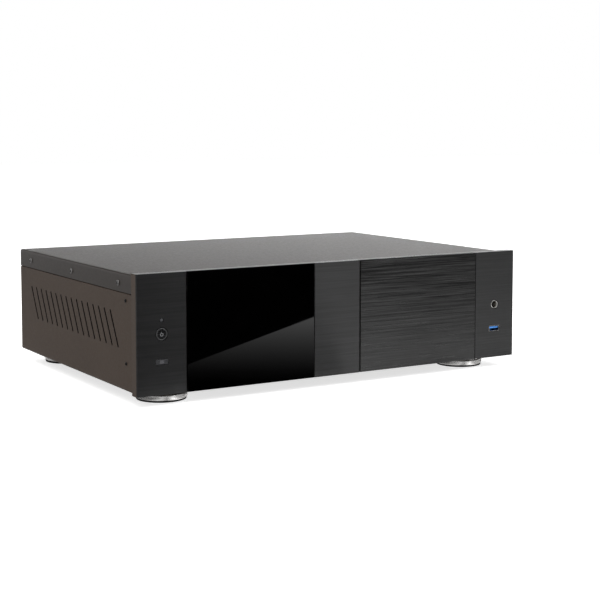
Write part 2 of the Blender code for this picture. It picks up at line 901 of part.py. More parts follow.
def base_chassis(look):
    """Floor and walls folded from one sheet, with slanted vents, a rear flange and standoffs.

    The walls step in under the cover's flange, so that the flange lies flush with them below a seam.
    """
    bm = bmesh.new()
    wall_end = [
        (side_half, shoulder_z),
        (chassis_half, step_z),
        (chassis_half, chassis_top),
        (chassis_inner_half, chassis_top),
        (chassis_inner_half, step_z - seam_drop),
        (side_inner_half, shoulder_z - seam_drop),
    ]
    outline = channel(side_half, chassis_bottom, chassis_top, chassis_sheet, wall_end=wall_end)
    add_prism(bm, outline, "Y", case_front_y, rear_y)
    chassis = make_object("base_chassis", bm, look)

    flanges = bmesh.new()
    flange_back = rear_panel_front_y - gap
    flange_front = flange_back - chassis_sheet
    outer = side_half - chassis_sheet / 2
    upper_outer = chassis_half - chassis_sheet / 2
    inner = chassis_inner_half - rear_flange
    low = chassis_bottom + chassis_sheet / 2
    corner_flange = [
        (-upper_outer, chassis_top - overrun),
        (-upper_outer, step_z - seam_drop / 2),
        (-outer, shoulder_z - seam_drop / 2),
        (-outer, low + bend_inner_radius),
        (-outer + bend_inner_radius, low),
        (outer - bend_inner_radius, low),
        (outer, low + bend_inner_radius),
        (outer, shoulder_z - seam_drop / 2),
        (upper_outer, step_z - seam_drop / 2),
        (upper_outer, chassis_top - overrun),
        (inner, chassis_top - overrun),
        (inner, floor_z + rear_flange / 2),
        (-inner, floor_z + rear_flange / 2),
        (-inner, chassis_top - overrun),
    ]
    add_prism(flanges, corner_flange, "Y", flange_front, flange_back)
    join(chassis, flanges)

    standoffs = bmesh.new()
    for x, y in main_board_corners() + power_board_corners():
        base = (x, y, floor_z - chassis_sheet / 2)
        add_cylinder(standoffs, base, (0, 0, 1), standoff_radius, chassis_sheet / 2 + standoff_height, 6)
    join(chassis, standoffs)

    holes = bmesh.new()
    span = side_half + overrun
    for index in range(vent_count):
        top_y = panel_back_y + vent_first_top + index * vent_pitch
        top_z = cover_top - vent_top_drop - vent_width / 2
        low_z = cover_top - vent_top_drop - vent_height + vent_width / 2
        outline = slot((top_y - vent_lean, low_z), (top_y, top_z), vent_width)
        add_prism(holes, outline, "X", -span, span)
    for y in cover_screw_places():
        outline = circle((y, cover_top - cover_screw_drop), pan_shank_radius + gap, small_sides)
        add_prism(holes, outline, "X", -span, span)
    for height in bracket_screw_heights():
        outline = circle((bracket_side_screw_y(), height), small_shank_radius + gap, small_sides)
        add_prism(holes, outline, "X", -span, span)
    low, high = chassis_bottom - overrun, floor_z + overrun
    for x in (power_board_x, main_board_x):
        for index in range(floor_vent_count):
            vent_x = x + (index - (floor_vent_count - 1) / 2) * floor_vent_pitch
            middle_y = (panel_back_y + rear_y) / 2
            half = floor_vent_length / 2
            outline = slot((vent_x, middle_y - half), (vent_x, middle_y + half), floor_vent_width, 2)
            add_prism(holes, outline, "Z", low, high)
    for _, x, y in foot_places():
        outline = circle((x, y), foot_stud_radius + gap, small_sides)
        add_prism(holes, outline, "Z", low, high)
    for x, z in rear_screw_places():
        outline = circle((x, z), small_shank_radius + gap, small_sides)
        add_prism(holes, outline, "Y", flange_front - overrun, flange_back + overrun)
    cut(chassis, holes)


def top_cover(look):
    """The lid, folded down over both sides."""
    bm = bmesh.new()
    outline = channel(cover_half, cover_top, cover_top - cover_flange, cover_sheet)
    add_prism(bm, outline, "Y", case_front_y, rear_y)
    cover = make_object("top_cover", bm, look)
    holes = bmesh.new()
    span = cover_half + overrun
    for y in cover_screw_places():
        outline = circle((y, cover_top - cover_screw_drop), pan_shank_radius + gap, small_sides)
        add_prism(holes, outline, "X", -span, span)
    cut(cover, holes)


def cover_screws(look):
    sizes = (pan_head_radius, pan_head_height, pan_shank_radius, pan_shank_length)
    for side_name, side in (("left", -1), ("right", 1)):
        for place_name, y in zip(("front", "middle", "rear"), cover_screw_places()):
            bm = bmesh.new()
            seat = (side * (cover_half + gap), y, cover_top - cover_screw_drop)
            add_screw(bm, seat, (side, 0, 0), *sizes)
            make_object(f"{side_name}_{place_name}_cover_screw", bm, look)


def rear_screw_places():
    x = chassis_inner_half - rear_flange / 2
    low = floor_z + 2 * rear_flange
    high = chassis_top - 2 * rear_flange
    return [(-x, low), (-x, high), (x, low), (x, high)]


def port_centres():
    """X of each rear connector, walked along the main board's rear edge."""
    widths = {
        "hdmi": hdmi_width,
        "network": lan_width,
        "audio": audio_width,
    }
    centres = {}
    edge = main_board_left + port_margin
    for name, width in widths.items():
        centres[name] = edge + width / 2
        edge += width + port_spacing
    return centres


def grille_slots():
    """Upright slots that fill the fan's circle: (x, half length of the slot between its ends)."""
    slots = []
    for index in range(grille_slot_count):
        offset = (index - (grille_slot_count - 1) / 2) * grille_slot_pitch
        half = math.sqrt(max(fan_bore_radius ** 2 - offset ** 2, 0)) - grille_slot_width
        slots.append((fan_x + offset, half))
    return slots


def hdmi_outline(centre, width, height, chamfer):
    """The connector's outline, narrower at its lower edge."""
    left, right = centre[0] - width / 2, centre[0] + width / 2
    low, high = centre[1] - height / 2, centre[1] + height / 2
    return [
        (left + chamfer, low),
        (right - chamfer, low),
        (right, low + chamfer),
        (right, high),
        (left, high),
        (left, low + chamfer),
    ]


def rear_panel(look):
    bm = bmesh.new()
    half = side_inner_half - gap
    upper_half = chassis_inner_half - gap
    low = floor_z + gap
    step = shoulder_z - seam_drop - gap
    high = cover_top - cover_sheet - gap
    right = [(half, low), (half, step), (upper_half, step), (upper_half, high)]
    outline = right + [(-x, z) for x, z in reversed(right)]
    add_prism(bm, outline, "Y", rear_panel_front_y, rear_y)
    panel = make_object("rear_panel", bm, look)
    holes = bmesh.new()
    start, end = rear_panel_front_y - overrun, rear_y + overrun
    centres = port_centres()
    port_base = board_top + gap
    outlines = [
        rectangle((inlet_x, mains_z), inlet_width + 2 * gap, inlet_height + 2 * gap),
        rectangle((switch_x, mains_z), switch_width + 2 * gap, switch_height + 2 * gap),
    ]
    ports = (
        ("hdmi", hdmi_width, hdmi_height),
        ("network", lan_width, usb_stack_height + lan_height),
    )
    for name, width, height in ports:
        centre = (centres[name], port_base + height / 2)
        outlines.append(rectangle(centre, width + 2 * gap, height + 2 * gap))
    for side in (-1, 1):
        centre = (centres["audio"] + side * audio_pitch / 2, port_base + audio_height / 2)
        outlines.append(circle(centre, audio_sleeve_radius + gap, hole_sides))
    for x, half_length in grille_slots():
        outlines.append(slot((x, fan_z - half_length), (x, fan_z + half_length), grille_slot_width))
    for x, z in rear_screw_places():
        outlines.append(circle((x, z), small_shank_radius + gap, small_sides))
    for outline in outlines:
        add_prism(holes, outline, "Y", start, end)
    cut(panel, holes)


def feet(metal, rubber):
    """Turned metal feet: a neck under the floor, a grooved rim, a stud and a pad let in below."""
    top = chassis_bottom - gap
    groove_low = pad_proud + foot_groove_rise
    groove_high = groove_low + foot_groove_width
    seat = pad_thickness + gap
    foot_profile = [
        (0, floor_z + foot_stud_length),
        (foot_stud_radius, floor_z + foot_stud_length),
        (foot_stud_radius, top),
        (foot_neck_radius, top),
        (foot_neck_radius, foot_rim_height),
        (foot_radius - foot_edge, foot_rim_height),
        (foot_radius, foot_rim_height - foot_edge),
        (foot_radius, groove_high),
        (foot_radius - foot_groove_depth, groove_high),
        (foot_radius - foot_groove_depth, groove_low),
        (foot_radius, groove_low),
        (foot_radius, pad_proud + foot_edge),
        (foot_radius - foot_edge, pad_proud),
        (pad_radius + gap, pad_proud),
        (pad_radius + gap, seat),
        (0, seat),
    ]
    pad_profile = [
        (0, 0),
        (pad_radius - pad_edge, 0),
        (pad_radius, pad_edge),
        (pad_radius, pad_thickness),
        (0, pad_thickness),
    ]
    for name, x, y in foot_places():
        for piece, profile, look in (("foot", foot_profile, metal), ("foot_pad", pad_profile, rubber)):
            bm = bmesh.new()
            add_turned(bm, profile, (x, y, 0), (0, 0, 1), round_sides)
            make_object(f"{name}_{piece}", bm, look)


def drive_sled(look, holder):
    """The tray's folded sheet body: floor, walls, front wall and ledges for the upper drive."""
    bm = bmesh.new()
    outline = channel(sled_half, sled_bottom, sled_top, sled_sheet, bay_x)
    add_prism(bm, outline, "Y", sled_front_y, sled_rear_y)
    sled = make_object("drive_sled", bm, look, holder)
    extras = bmesh.new()
    inside = sled_half - sled_sheet / 2
    low = (bay_x - inside, sled_front_y, sled_bottom + sled_sheet / 2)
    high = (bay_x + inside, sled_wall_y, sled_top)
    add_box(extras, low, high)
    ledge_top = upper_drive_z - gap
    for side in (-1, 1):
        outer = bay_x + side * inside
        inner = bay_x + side * (sled_inner_half - sled_ledge_width)
        for start in (drive_front_y, drive_rear_y - sled_ledge_length):
            low = (min(outer, inner), start, ledge_top - sled_sheet)
            high = (max(outer, inner), start + sled_ledge_length, ledge_top)
            add_box(extras, low, high)
    join(sled, extras)
    holes = bmesh.new()
    middle = (drive_front_y + drive_rear_y) / 2
    for side in (-1, 1):
        x = bay_x + side * sled_half / 2
        reach = sled_slot_length / 2
        outline = slot((x, middle - reach), (x, middle + reach), sled_slot_width)
        bottom = sled_bottom - overrun
        add_prism(holes, outline, "Z", bottom, sled_bottom + sled_sheet + overrun)
    cut(sled, holes)


def tray_fascia(look, holder):
    """The brushed front of the tray, chamfered on its upright edges, flush with the panel."""
    left = bay_left + finger_gap
    right = bay_right - gap
    back = front_y + fascia_thickness
    bevel = fascia_chamfer
    outline = [
        (left, back),
        (left, front_y + bevel),
        (left + bevel, front_y),
        (right - bevel, front_y),
        (right, front_y + bevel),
        (right, back),
    ]
    bm = bmesh.new()
    add_prism(bm, outline, "Z", panel_bottom, panel_top)
    make_object("tray_fascia", bm, look, holder)


def runner_outline(side, web, tip, half_height):
    """A runner member's C section: web and tip are distances from the cage wall."""
    wall = bay_x + side * (cage_inner_half - gap)
    into = 1 if tip > web else -1
    back = wall - side * web
    face = back - side * into * runner_sheet
    lip = wall - side * tip
    inner = half_height - runner_sheet
    return [
        (back, -half_height + runner_z),
        (lip, -half_height + runner_z),
        (lip, -inner + runner_z),
        (face, -inner + runner_z),
        (face, inner + runner_z),
        (lip, inner + runner_z),
        (lip, half_height + runner_z),
        (back, half_height + runner_z),
    ]


def runners(look, middle_holders, tray_holder):
    """Three nested channels a side: outer on the cage, inner on the sled, middle between."""
    step = runner_sheet + runner_clearance
    half = runner_height / 2
    outer_tip = runner_sheet + runner_flange
    members = (
        ("outer", 0.0, outer_tip, half),
        ("middle", step, step + outer_tip, half - step),
        ("inner", runner_depth, runner_depth - inner_runner_depth, half - 2 * step),
    )
    for side_name, side in (("left", -1), ("right", 1)):
        for name, web, tip, half_height in members:
            bm = bmesh.new()
            outline = runner_outline(side, web, tip, half_height)
            add_prism(bm, outline, "Y", runner_front_y, runner_rear_y)
            holders = {"outer": None, "middle": middle_holders[side_name], "inner": tray_holder}
            make_object(f"{side_name}_{name}_runner", bm, look, holders[name])


def drive(name, base_z, case_look, cover_look, holder):
    """One 3.5 inch drive: a cast case, its board below, a notch for the socket, a pressed cover."""
    case_low = base_z + drive_board_thickness
    cover_low = base_z + drive_height - drive_cover_sheet - drive_bulge
    middle_y = (drive_front_y + drive_rear_y) / 2
    bm = bmesh.new()
    outline = rounded_rectangle((bay_x, middle_y), drive_width, drive_length, drive_corner)
    add_prism(bm, outline, "Z", case_low, cover_low - gap)
    case = make_object(f"{name}_drive_case", bm, case_look, holder)
    board = bmesh.new()
    half = sled_inner_half - sled_ledge_width - gap
    rear = drive_rear_y - drive_notch_depth / 2
    low = (bay_x - half, rear - drive_length * drive_board_share, base_z)
    add_box(board, low, (bay_x + half, rear, case_low + drive_board_thickness))
    join(case, board)
    notch = bmesh.new()
    half = drive_notch_width / 2
    low = (bay_x - half, drive_rear_y - drive_notch_depth, base_z - overrun)
    high = (bay_x + half, drive_rear_y + overrun, case_low + drive_notch_height)
    add_box(notch, low, high)
    cut(case, notch)

    cover = bmesh.new()
    width = drive_width - 2 * drive_cover_inset
    length = drive_length - 2 * drive_cover_inset
    outline = rounded_rectangle((bay_x, middle_y), width, length, drive_corner)
    add_prism(cover, outline, "Z", cover_low, cover_low + drive_cover_sheet)
    cover_item = make_object(f"{name}_drive_cover", cover, cover_look, holder)
    bulge = bmesh.new()
    bulge_centre = (bay_x, drive_rear_y - drive_cover_inset - drive_bulge_set_back)
    outline = circle(bulge_centre, drive_bulge_radius, round_sides)
    bulge_low = cover_low + drive_cover_sheet / 2
    add_prism(bulge, outline, "Z", bulge_low, base_z + drive_height)
    join(cover_item, bulge)


def drive_cage(look):
    """An open cage round the tray, with a rear wall that the backplane stands against."""
    bm = bmesh.new()
    outline = channel(cage_half, cage_floor_z, cage_top, cage_sheet, bay_x)
    add_prism(bm, outline, "Y", case_front_y, cage_rear_y)
    cage = make_object("drive_cage", bm, look)
    wall = bmesh.new()
    inside = cage_half - cage_sheet / 2
    low = (bay_x - inside, cage_wall_y, cage_floor_z + cage_sheet / 2)
    high = (bay_x + inside, cage_rear_y, cage_top)
    add_box(wall, low, high)
    join(cage, wall)
    window = bmesh.new()
    centre = (bay_x, panel_middle)
    outline = rectangle(centre, cage_rear_window_width, cage_rear_window_height)
    add_prism(window, outline, "Y", cage_wall_y - overrun, cage_rear_y + overrun)
    cut(cage, window)


def backplane_board(look):
    """The board that the drives plug into, with a socket reaching into each drive's notch."""
    bm = bmesh.new()
    low = (bay_x - backplane_width / 2, backplane_y, sled_bottom)
    high = (bay_x + backplane_width / 2, backplane_y + board_thickness, stack_top)
    add_box(bm, low, high)
    board = make_object("backplane_board", bm, look)
    sockets = bmesh.new()
    slots = bmesh.new()
    front = drive_rear_y - drive_notch_depth + gap
    width = drive_notch_width - 2 * gap
    for base_z in (lower_drive_z, upper_drive_z):
        low_z = base_z + drive_board_thickness
        high_z = low_z + drive_notch_height - gap
        centre = (bay_x, (low_z + high_z) / 2)
        outline = rectangle(centre, width, high_z - low_z)
        add_prism(sockets, outline, "Y", front, backplane_y + board_thickness / 2)
        slot_outline = rectangle(centre, width - socket_slot_depth, socket_slot_height)
        add_prism(slots, slot_outline, "Y", front - overrun, front + socket_slot_depth)
    join(board, sockets)
    cut(board, slots)


def board_corners(x, width, front, rear):
    corners = []
    for side in (-1, 1):
        for y in (front + standoff_inset, rear - standoff_inset):
            corners.append((x + side * (width / 2 - standoff_inset), y))
    return corners


def main_board_corners():
    return board_corners(main_board_x, main_board_width, main_board_front_y, main_board_rear_y)


def power_board_corners():
    return board_corners(power_board_x, power_board_width, power_board_front_y, power_board_rear_y)


def heat_sink_centre():
    return (main_board_x, (main_board_front_y + main_board_rear_y) / 2)


def main_board(look):
    """The main board with its processor and memory soldered on."""
    bm = bmesh.new()
    low = (main_board_x - main_board_width / 2, main_board_front_y, board_z)
    high = (main_board_x + main_board_width / 2, main_board_rear_y, board_top)
    add_box(bm, low, high)
    board = make_object("main_board", bm, look)
    chips = bmesh.new()
    buried = board_z + board_thickness / 2
    centre = heat_sink_centre()
    outline = rectangle(centre, processor_size, processor_size)
    add_prism(chips, outline, "Z", buried, board_top + processor_height)
    row_y = centre[1] - heat_sink_size / 2 - memory_length
    for index in range(memory_count):
        offset = (index - (memory_count - 1) / 2) * (memory_width + memory_spacing)
        outline = rectangle((centre[0] + offset, row_y), memory_width, memory_length)
        add_prism(chips, outline, "Z", buried, board_top + memory_height)
    join(board, chips)
    holes = bmesh.new()
    for x, y in main_board_corners():
        outline = circle((x, y), pan_shank_radius, small_sides)
        add_prism(holes, outline, "Z", board_z - overrun, board_top + overrun)
    cut(board, holes)


def heat_sink(look):
    """A finned block over the processor, its fins running front to back."""
    centre = heat_sink_centre()
    half = heat_sink_size / 2
    low = board_top + processor_height + gap
    base_top = low + heat_sink_base
    top = low + heat_sink_height
    pitch = (heat_sink_size - fin_thickness) / (fin_count - 1)
    outline = [(centre[0] + half, low), (centre[0] - half, low)]
    for index in range(fin_count):
        left = centre[0] - half + index * pitch
        right = left + fin_thickness
        if index > 0:
            outline.append((left, base_top))
        outline += [(left, top), (right, top)]
        if index < fin_count - 1:
            outline.append((right, base_top))
    bm = bmesh.new()
    add_prism(bm, outline, "Y", centre[1] - half, centre[1] + half)
    make_object("heat_sink", bm, look)


def power_board(look):
    """The supply board, with two large and three small capacitors soldered on."""
    bm = bmesh.new()
    low = (power_board_x - power_board_width / 2, power_board_front_y, board_z)
    high = (power_board_x + power_board_width / 2, power_board_rear_y, board_top)
    add_box(bm, low, high)
    board = make_object("power_board", bm, look)
    capacitors = bmesh.new()
    buried = board_thickness / 2
    for x, y, radius, height in capacitor_places():
        profile = [
            (0, -buried),
            (radius, -buried),
            (radius, height - capacitor_edge),
            (radius - capacitor_edge, height),
            (0, height),
        ]
        add_turned(capacitors, profile, (x, y, board_top), (0, 0, 1), hole_sides)
    join(board, capacitors)
    holes = bmesh.new()
    for x, y in power_board_corners():
        outline = circle((x, y), pan_shank_radius, small_sides)
        add_prism(holes, outline, "Z", board_z - overrun, board_top + overrun)
    cut(board, holes)


def capacitor_places():
    """Each capacitor's middle, radius and height."""
    places = []
    rear = power_board_rear_y - power_part_margin - capacitor_radius
    for side in (-1, 1):
        x = power_board_x + side * (capacitor_radius + capacitor_edge)
        places.append((x, rear, capacitor_radius, capacitor_height))
    front = power_board_front_y + power_part_margin + small_capacitor_radius
    for index in (-1, 0, 1):
        x = power_board_x + index * (2 * small_capacitor_radius + power_part_margin)
        places.append((x, front, small_capacitor_radius, small_capacitor_height))
    return places


def transformer(look):
    """A wound core: two limbs joined by yokes, round a thicker winding."""
    middle_y = (power_board_front_y + power_board_rear_y) / 2
    base = board_top + gap
    bm = bmesh.new()
    outline = rectangle((power_board_x, middle_y), transformer_width, transformer_depth)
    inner_low = base + transformer_limb / 2
    inner_high = base + transformer_height - transformer_limb / 2
    add_prism(bm, outline, "Z", base, base + transformer_height)
    item = make_object("transformer", bm, look)
    windows = bmesh.new()
    depth = transformer_winding_set_in
    for side in (-1, 1):
        face = middle_y + side * transformer_depth / 2
        near, far = sorted((face - side * depth, face + side * overrun))
        half = transformer_width / 2 - transformer_limb
        for end in (-1, 1):
            inner = power_board_x + end * (half - depth)
            outer = power_board_x + end * half
            low = (min(inner, outer), near, inner_low)
            high = (max(inner, outer), far, inner_high)
            add_box(windows, low, high)
    cut(item, windows)


def fan_frame(look):
    """A square frame round the fan's bore, with struts to the motor's seat and its pin."""
    centre = (fan_x, fan_z)
    bm = bmesh.new()
    outline = rounded_rectangle(centre, fan_size, fan_size, fan_corner)
    add_prism(bm, outline, "Y", fan_front_y, rear_room_y)
    frame = make_object("fan_frame", bm, look)
    bore = bmesh.new()
    outline = circle(centre, fan_bore_radius, round_sides)
    add_prism(bore, outline, "Y", fan_front_y - overrun, rear_room_y + overrun)
    for side_x in (-1, 1):
        for side_z in (-1, 1):
            place = (fan_x + side_x * fan_screw_pitch / 2, fan_z + side_z * fan_screw_pitch / 2)
            outline = circle(place, pan_shank_radius + gap, small_sides)
            add_prism(bore, outline, "Y", fan_front_y - overrun, rear_room_y + overrun)
    cut(frame, bore)
    seat = bmesh.new()
    outline = []
    reach = fan_bore_radius + overrun / 2
    half_angle = math.degrees(math.asin(fan_strut_width / 2 / fan_hub_radius))
    for index in range(fan_strut_count):
        heading = 45 + 360 / fan_strut_count * index
        turn = math.radians(heading)
        along = (math.cos(turn), math.sin(turn))
        for side in (-1, 1):
            side_u = -along[1] * side * fan_strut_width / 2
            side_v = along[0] * side * fan_strut_width / 2
            outline.append((fan_x + along[0] * reach + side_u, fan_z + along[1] * reach + side_v))
        after = 360 / fan_strut_count - half_angle
        outline += arc(centre, fan_hub_radius, heading + half_angle, heading + after, corner_steps)
    add_prism(seat, outline, "Y", fan_front_y, fan_front_y + fan_motor_depth)
    join(frame, seat)
    pin = bmesh.new()
    base = (fan_x, fan_front_y + fan_motor_depth / 2, fan_z)
    length = fan_motor_depth / 2 + fan_pin_length
    add_cylinder(pin, base, (0, 1, 0), fan_pin_radius, length, small_sides)
    join(frame, pin)


def fan_rotor(look):
    """A hub with twisted blades, bored at the front for the frame's pin."""
    holder = make_holder("fan_axis", (fan_x, rotor_front_y, fan_z))
    bm = bmesh.new()
    length = rotor_rear_y - rotor_front_y
    bore = fan_pin_radius + gap
    bore_end = fan_pin_length + gap
    edge = fan_blade_thickness / 2
    profile = [
        (0, bore_end),
        (bore, bore_end),
        (bore, 0),
        (fan_hub_radius, 0),
        (fan_hub_radius, length - edge),
        (fan_hub_radius - edge, length),
        (0, length),
    ]
    add_turned(bm, profile, holder.location, (0, 1, 0), round_sides)
    rotor = make_object("fan_rotor", bm, look, holder)
    blades = bmesh.new()
    root = fan_hub_radius - fan_blade_thickness
    tip = fan_bore_radius - fan_tip_clearance
    span_steps = 3
    chord_steps = 3
    low_y = rotor_front_y + fan_blade_thickness
    high_y = rotor_rear_y - fan_blade_thickness
    for blade in range(fan_blade_count):
        start = 360 / fan_blade_count * blade
        grids = []
        for face in (-1, 1):
            grid = []
            for span in range(span_steps + 1):
                radius = root + (tip - root) * span / span_steps
                line = []
                for chord in range(chord_steps + 1):
                    share = chord / chord_steps
                    turn = math.radians(start + fan_blade_sweep * share)
                    y = low_y + (high_y - low_y) * share + face * fan_blade_thickness / 2
                    x = fan_x + radius * math.cos(turn)
                    z = fan_z + radius * math.sin(turn)
                    line.append(blades.verts.new((x, y, z)))
                grid.append(line)
            grids.append(grid)
        below, above = grids
        for span in range(span_steps):
            for chord in range(chord_steps):
                for grid in grids:
                    corners = (grid[span][chord], grid[span + 1][chord])
                    others = (grid[span + 1][chord + 1], grid[span][chord + 1])
                    blades.faces.new(corners + others)
        for span in range(span_steps):
            for chord in (0, chord_steps):
                near = (below[span][chord], below[span + 1][chord])
                far = (above[span + 1][chord], above[span][chord])
                blades.faces.new(near + far)
        for chord in range(chord_steps):
            for span in (0, span_steps):
                near = (below[span][chord], below[span][chord + 1])
                far = (above[span][chord + 1], above[span][chord])
                blades.faces.new(near + far)
    join(rotor, blades)


def mains_inlet(look):
    """A three-pin appliance inlet: a flanged body with an open cavity round its pins."""
    centre = (inlet_x, mains_z)
    flange_front = rear_y + gap
    face = flange_front + inlet_flange
    bm = bmesh.new()
    outline = rectangle(centre, inlet_width, inlet_height)
    add_prism(bm, outline, "Y", rear_y - inlet_depth, flange_front + inlet_flange / 2)
    inlet = make_object("mains_inlet", bm, look)
    flange = bmesh.new()
    width = inlet_width + 2 * inlet_flange_overlap
    height = inlet_height + 2 * inlet_flange_overlap
    outline = rounded_rectangle(centre, width, height, inlet_small_corner)
    add_prism(flange, outline, "Y", flange_front, face)
    join(inlet, flange)
    cavity = bmesh.new()
    left, right = inlet_x - inlet_cavity_width / 2, inlet_x + inlet_cavity_width / 2
    low, high = mains_z - inlet_cavity_height / 2, mains_z + inlet_cavity_height / 2
    outline = [
        (left, low),
        (right, low),
        (right, high - inlet_corner),
        (right - inlet_corner, high),
        (left + inlet_corner, high),
        (left, high - inlet_corner),
    ]
    floor_y = face - inlet_cavity_depth
    add_prism(cavity, outline, "Y", floor_y, face + overrun)
    cut(inlet, cavity)
    pins = bmesh.new()
    for offset, rise in ((-1, 0), (0, mains_earth_rise), (1, 0)):
        place = (inlet_x + offset * mains_pin_pitch, mains_z + rise)
        outline = rectangle(place, mains_pin_width, mains_pin_height)
        add_prism(pins, outline, "Y", floor_y - overrun / 2, floor_y + mains_pin_length)
    join(inlet, pins)


def mains_switch(body_look, rocker_look):
    """A switch body with a deep cavity, and the rocker that tips in it about a level axis."""
    centre = (switch_x, mains_z)
    flange_front = rear_y + gap
    face = flange_front + switch_flange
    pivot_y = face - rocker_middle_height
    cavity_half = rocker_half_length + rocker_end_clearance
    cavity_width = switch_width - 2 * rocker_side_wall
    bm = bmesh.new()
    outline = rectangle(centre, switch_width, switch_height)
    add_prism(bm, outline, "Y", rear_y - switch_depth, flange_front + switch_flange / 2)
    body = make_object("mains_switch", bm, body_look)
    flange = bmesh.new()
    width = switch_width + 2 * switch_flange_overlap
    height = switch_height + 2 * switch_flange_overlap
    outline = rounded_rectangle(centre, width, height, switch_corner)
    add_prism(flange, outline, "Y", flange_front, face)
    join(body, flange)
    cavity = bmesh.new()
    floor_y = pivot_y - rocker_foot_depth - rocker_floor_space
    outline = rectangle(centre, cavity_width, 2 * cavity_half)
    add_prism(cavity, outline, "Y", floor_y, face + overrun)
    cut(body, cavity)

    holder = make_holder("rocker_axis", (switch_x, pivot_y, mains_z))
    shape = [
        (rocker_end_height, -rocker_half_length),
        (rocker_middle_height, 0.0),
        (rocker_end_height, rocker_half_length),
        (rocker_shoulder_height, rocker_half_length),
        (-rocker_foot_depth, rocker_foot_half_length),
        (-rocker_foot_depth, -rocker_foot_half_length),
        (rocker_shoulder_height, -rocker_half_length),
    ]
    turn = math.radians(rocker_tilt)
    tilted = []
    for out, up in shape:
        y = pivot_y + out * math.cos(turn) - up * math.sin(turn)
        z = mains_z + out * math.sin(turn) + up * math.cos(turn)
        tilted.append((y, z))
    rocker = bmesh.new()
    half = cavity_width / 2 - rocker_side_clearance
    add_prism(rocker, tilted, "X", switch_x - half, switch_x + half)
    make_object("mains_rocker", rocker, rocker_look, holder)


def hdmi_port(look):
    bm = bmesh.new()
    centre = (port_centres()["hdmi"], board_top + gap + hdmi_height / 2)
    outline = hdmi_outline(centre, hdmi_width, hdmi_height, hdmi_chamfer)
    add_prism(bm, outline, "Y", rear_y - hdmi_depth, rear_y)
    port = make_object("hdmi_port", bm, look)
    cavity = bmesh.new()
    width = hdmi_width - 2 * hdmi_wall
    height = hdmi_height - 2 * hdmi_wall
    floor_y = rear_y - hdmi_depth + 2 * hdmi_wall
    outline = hdmi_outline(centre, width, height, hdmi_chamfer)
    add_prism(cavity, outline, "Y", floor_y, rear_y + overrun)
    cut(port, cavity)
    tongue = bmesh.new()
    outline = rectangle(centre, hdmi_tongue_width, hdmi_tongue_thickness)
    add_prism(tongue, outline, "Y", floor_y - hdmi_wall, rear_y - 2 * hdmi_wall)
    join(port, tongue)


def network_usb_port(look):
    """One shielded block: a network socket over two USB ports, each with its tongue."""
    x = port_centres()["network"]
    low = board_top + gap
    bm = bmesh.new()
    height = usb_stack_height + lan_height
    outline = rectangle((x, low + height / 2), lan_width, height)
    add_prism(bm, outline, "Y", rear_y - lan_depth, rear_y)
    port = make_object("network_usb_port", bm, look)
    cavities = bmesh.new()
    tongues = bmesh.new()
    inner_width = usb_width - 2 * usb_wall
    inner_height = usb_height - 2 * usb_wall
    usb_floor_y = rear_y - usb_rim - usb_plug_depth
    for rise_share in usb_stack_shares:
        centre = (x, low + usb_stack_height * rise_share)
        outline = rectangle(centre, inner_width, inner_height)
        add_prism(cavities, outline, "Y", usb_floor_y, rear_y + overrun)
        tongue_centre = (x, centre[1] + usb_tongue_rise)
        tongue_width = inner_width - 2 * gap - 2 * usb_tongue_side
        outline = rectangle(tongue_centre, tongue_width, usb_tongue_thickness)
        add_prism(tongues, outline, "Y", usb_floor_y - overrun, rear_y - usb_rim)
    half = lan_cavity_width / 2
    cavity_low = low + usb_stack_height + lan_cavity_rise
    cavity_high = cavity_low + lan_cavity_height
    latch_low = cavity_low - lan_latch_depth
    latch_half = lan_latch_width / 2
    outline = [
        (x - half, cavity_high),
        (x - half, cavity_low),
        (x - latch_half, cavity_low),
        (x - latch_half, latch_low),
        (x + latch_half, latch_low),
        (x + latch_half, cavity_low),
        (x + half, cavity_low),
        (x + half, cavity_high),
    ]
    add_prism(cavities, outline, "Y", rear_y - lan_cavity_depth, rear_y + overrun)
    cut(port, cavities)
    join(port, tongues)


def audio_jacks(look):
    """A moulded block on the board whose two collared sleeves stand out of the rear panel."""
    x = port_centres()["audio"]
    low = board_top + gap
    bm = bmesh.new()
    back = rear_panel_front_y - gap
    outline = rectangle((x, low + audio_height / 2), audio_width, audio_height)
    add_prism(bm, outline, "Y", back - audio_depth, back)
    jacks = make_object("audio_jacks", bm, look)
    sleeves = bmesh.new()
    bores = bmesh.new()
    tip = rear_y + connector_reach
    for side in (-1, 1):
        centre = (x + side * audio_pitch / 2, low + audio_height / 2)
        outline = circle(centre, audio_sleeve_radius, hole_sides)
        add_prism(sleeves, outline, "Y", back - overrun, tip)
        hole = circle(centre, audio_sleeve_hole_radius, small_sides)
        add_prism(bores, hole, "Y", back, tip + overrun)
    join(jacks, sleeves)
    collars = bmesh.new()
    for side in (-1, 1):
        centre = (x + side * audio_pitch / 2, low + audio_height / 2)
        outline = circle(centre, audio_collar_radius, hole_sides)
        start = rear_y + gap
        add_prism(collars, outline, "Y", start, start + audio_collar_thickness)
    join(jacks, collars)
    cut(jacks, bores)


def clear_scene():
    for item in list(bpy.data.objects):
        bpy.data.objects.remove(item, do_unlink=True)


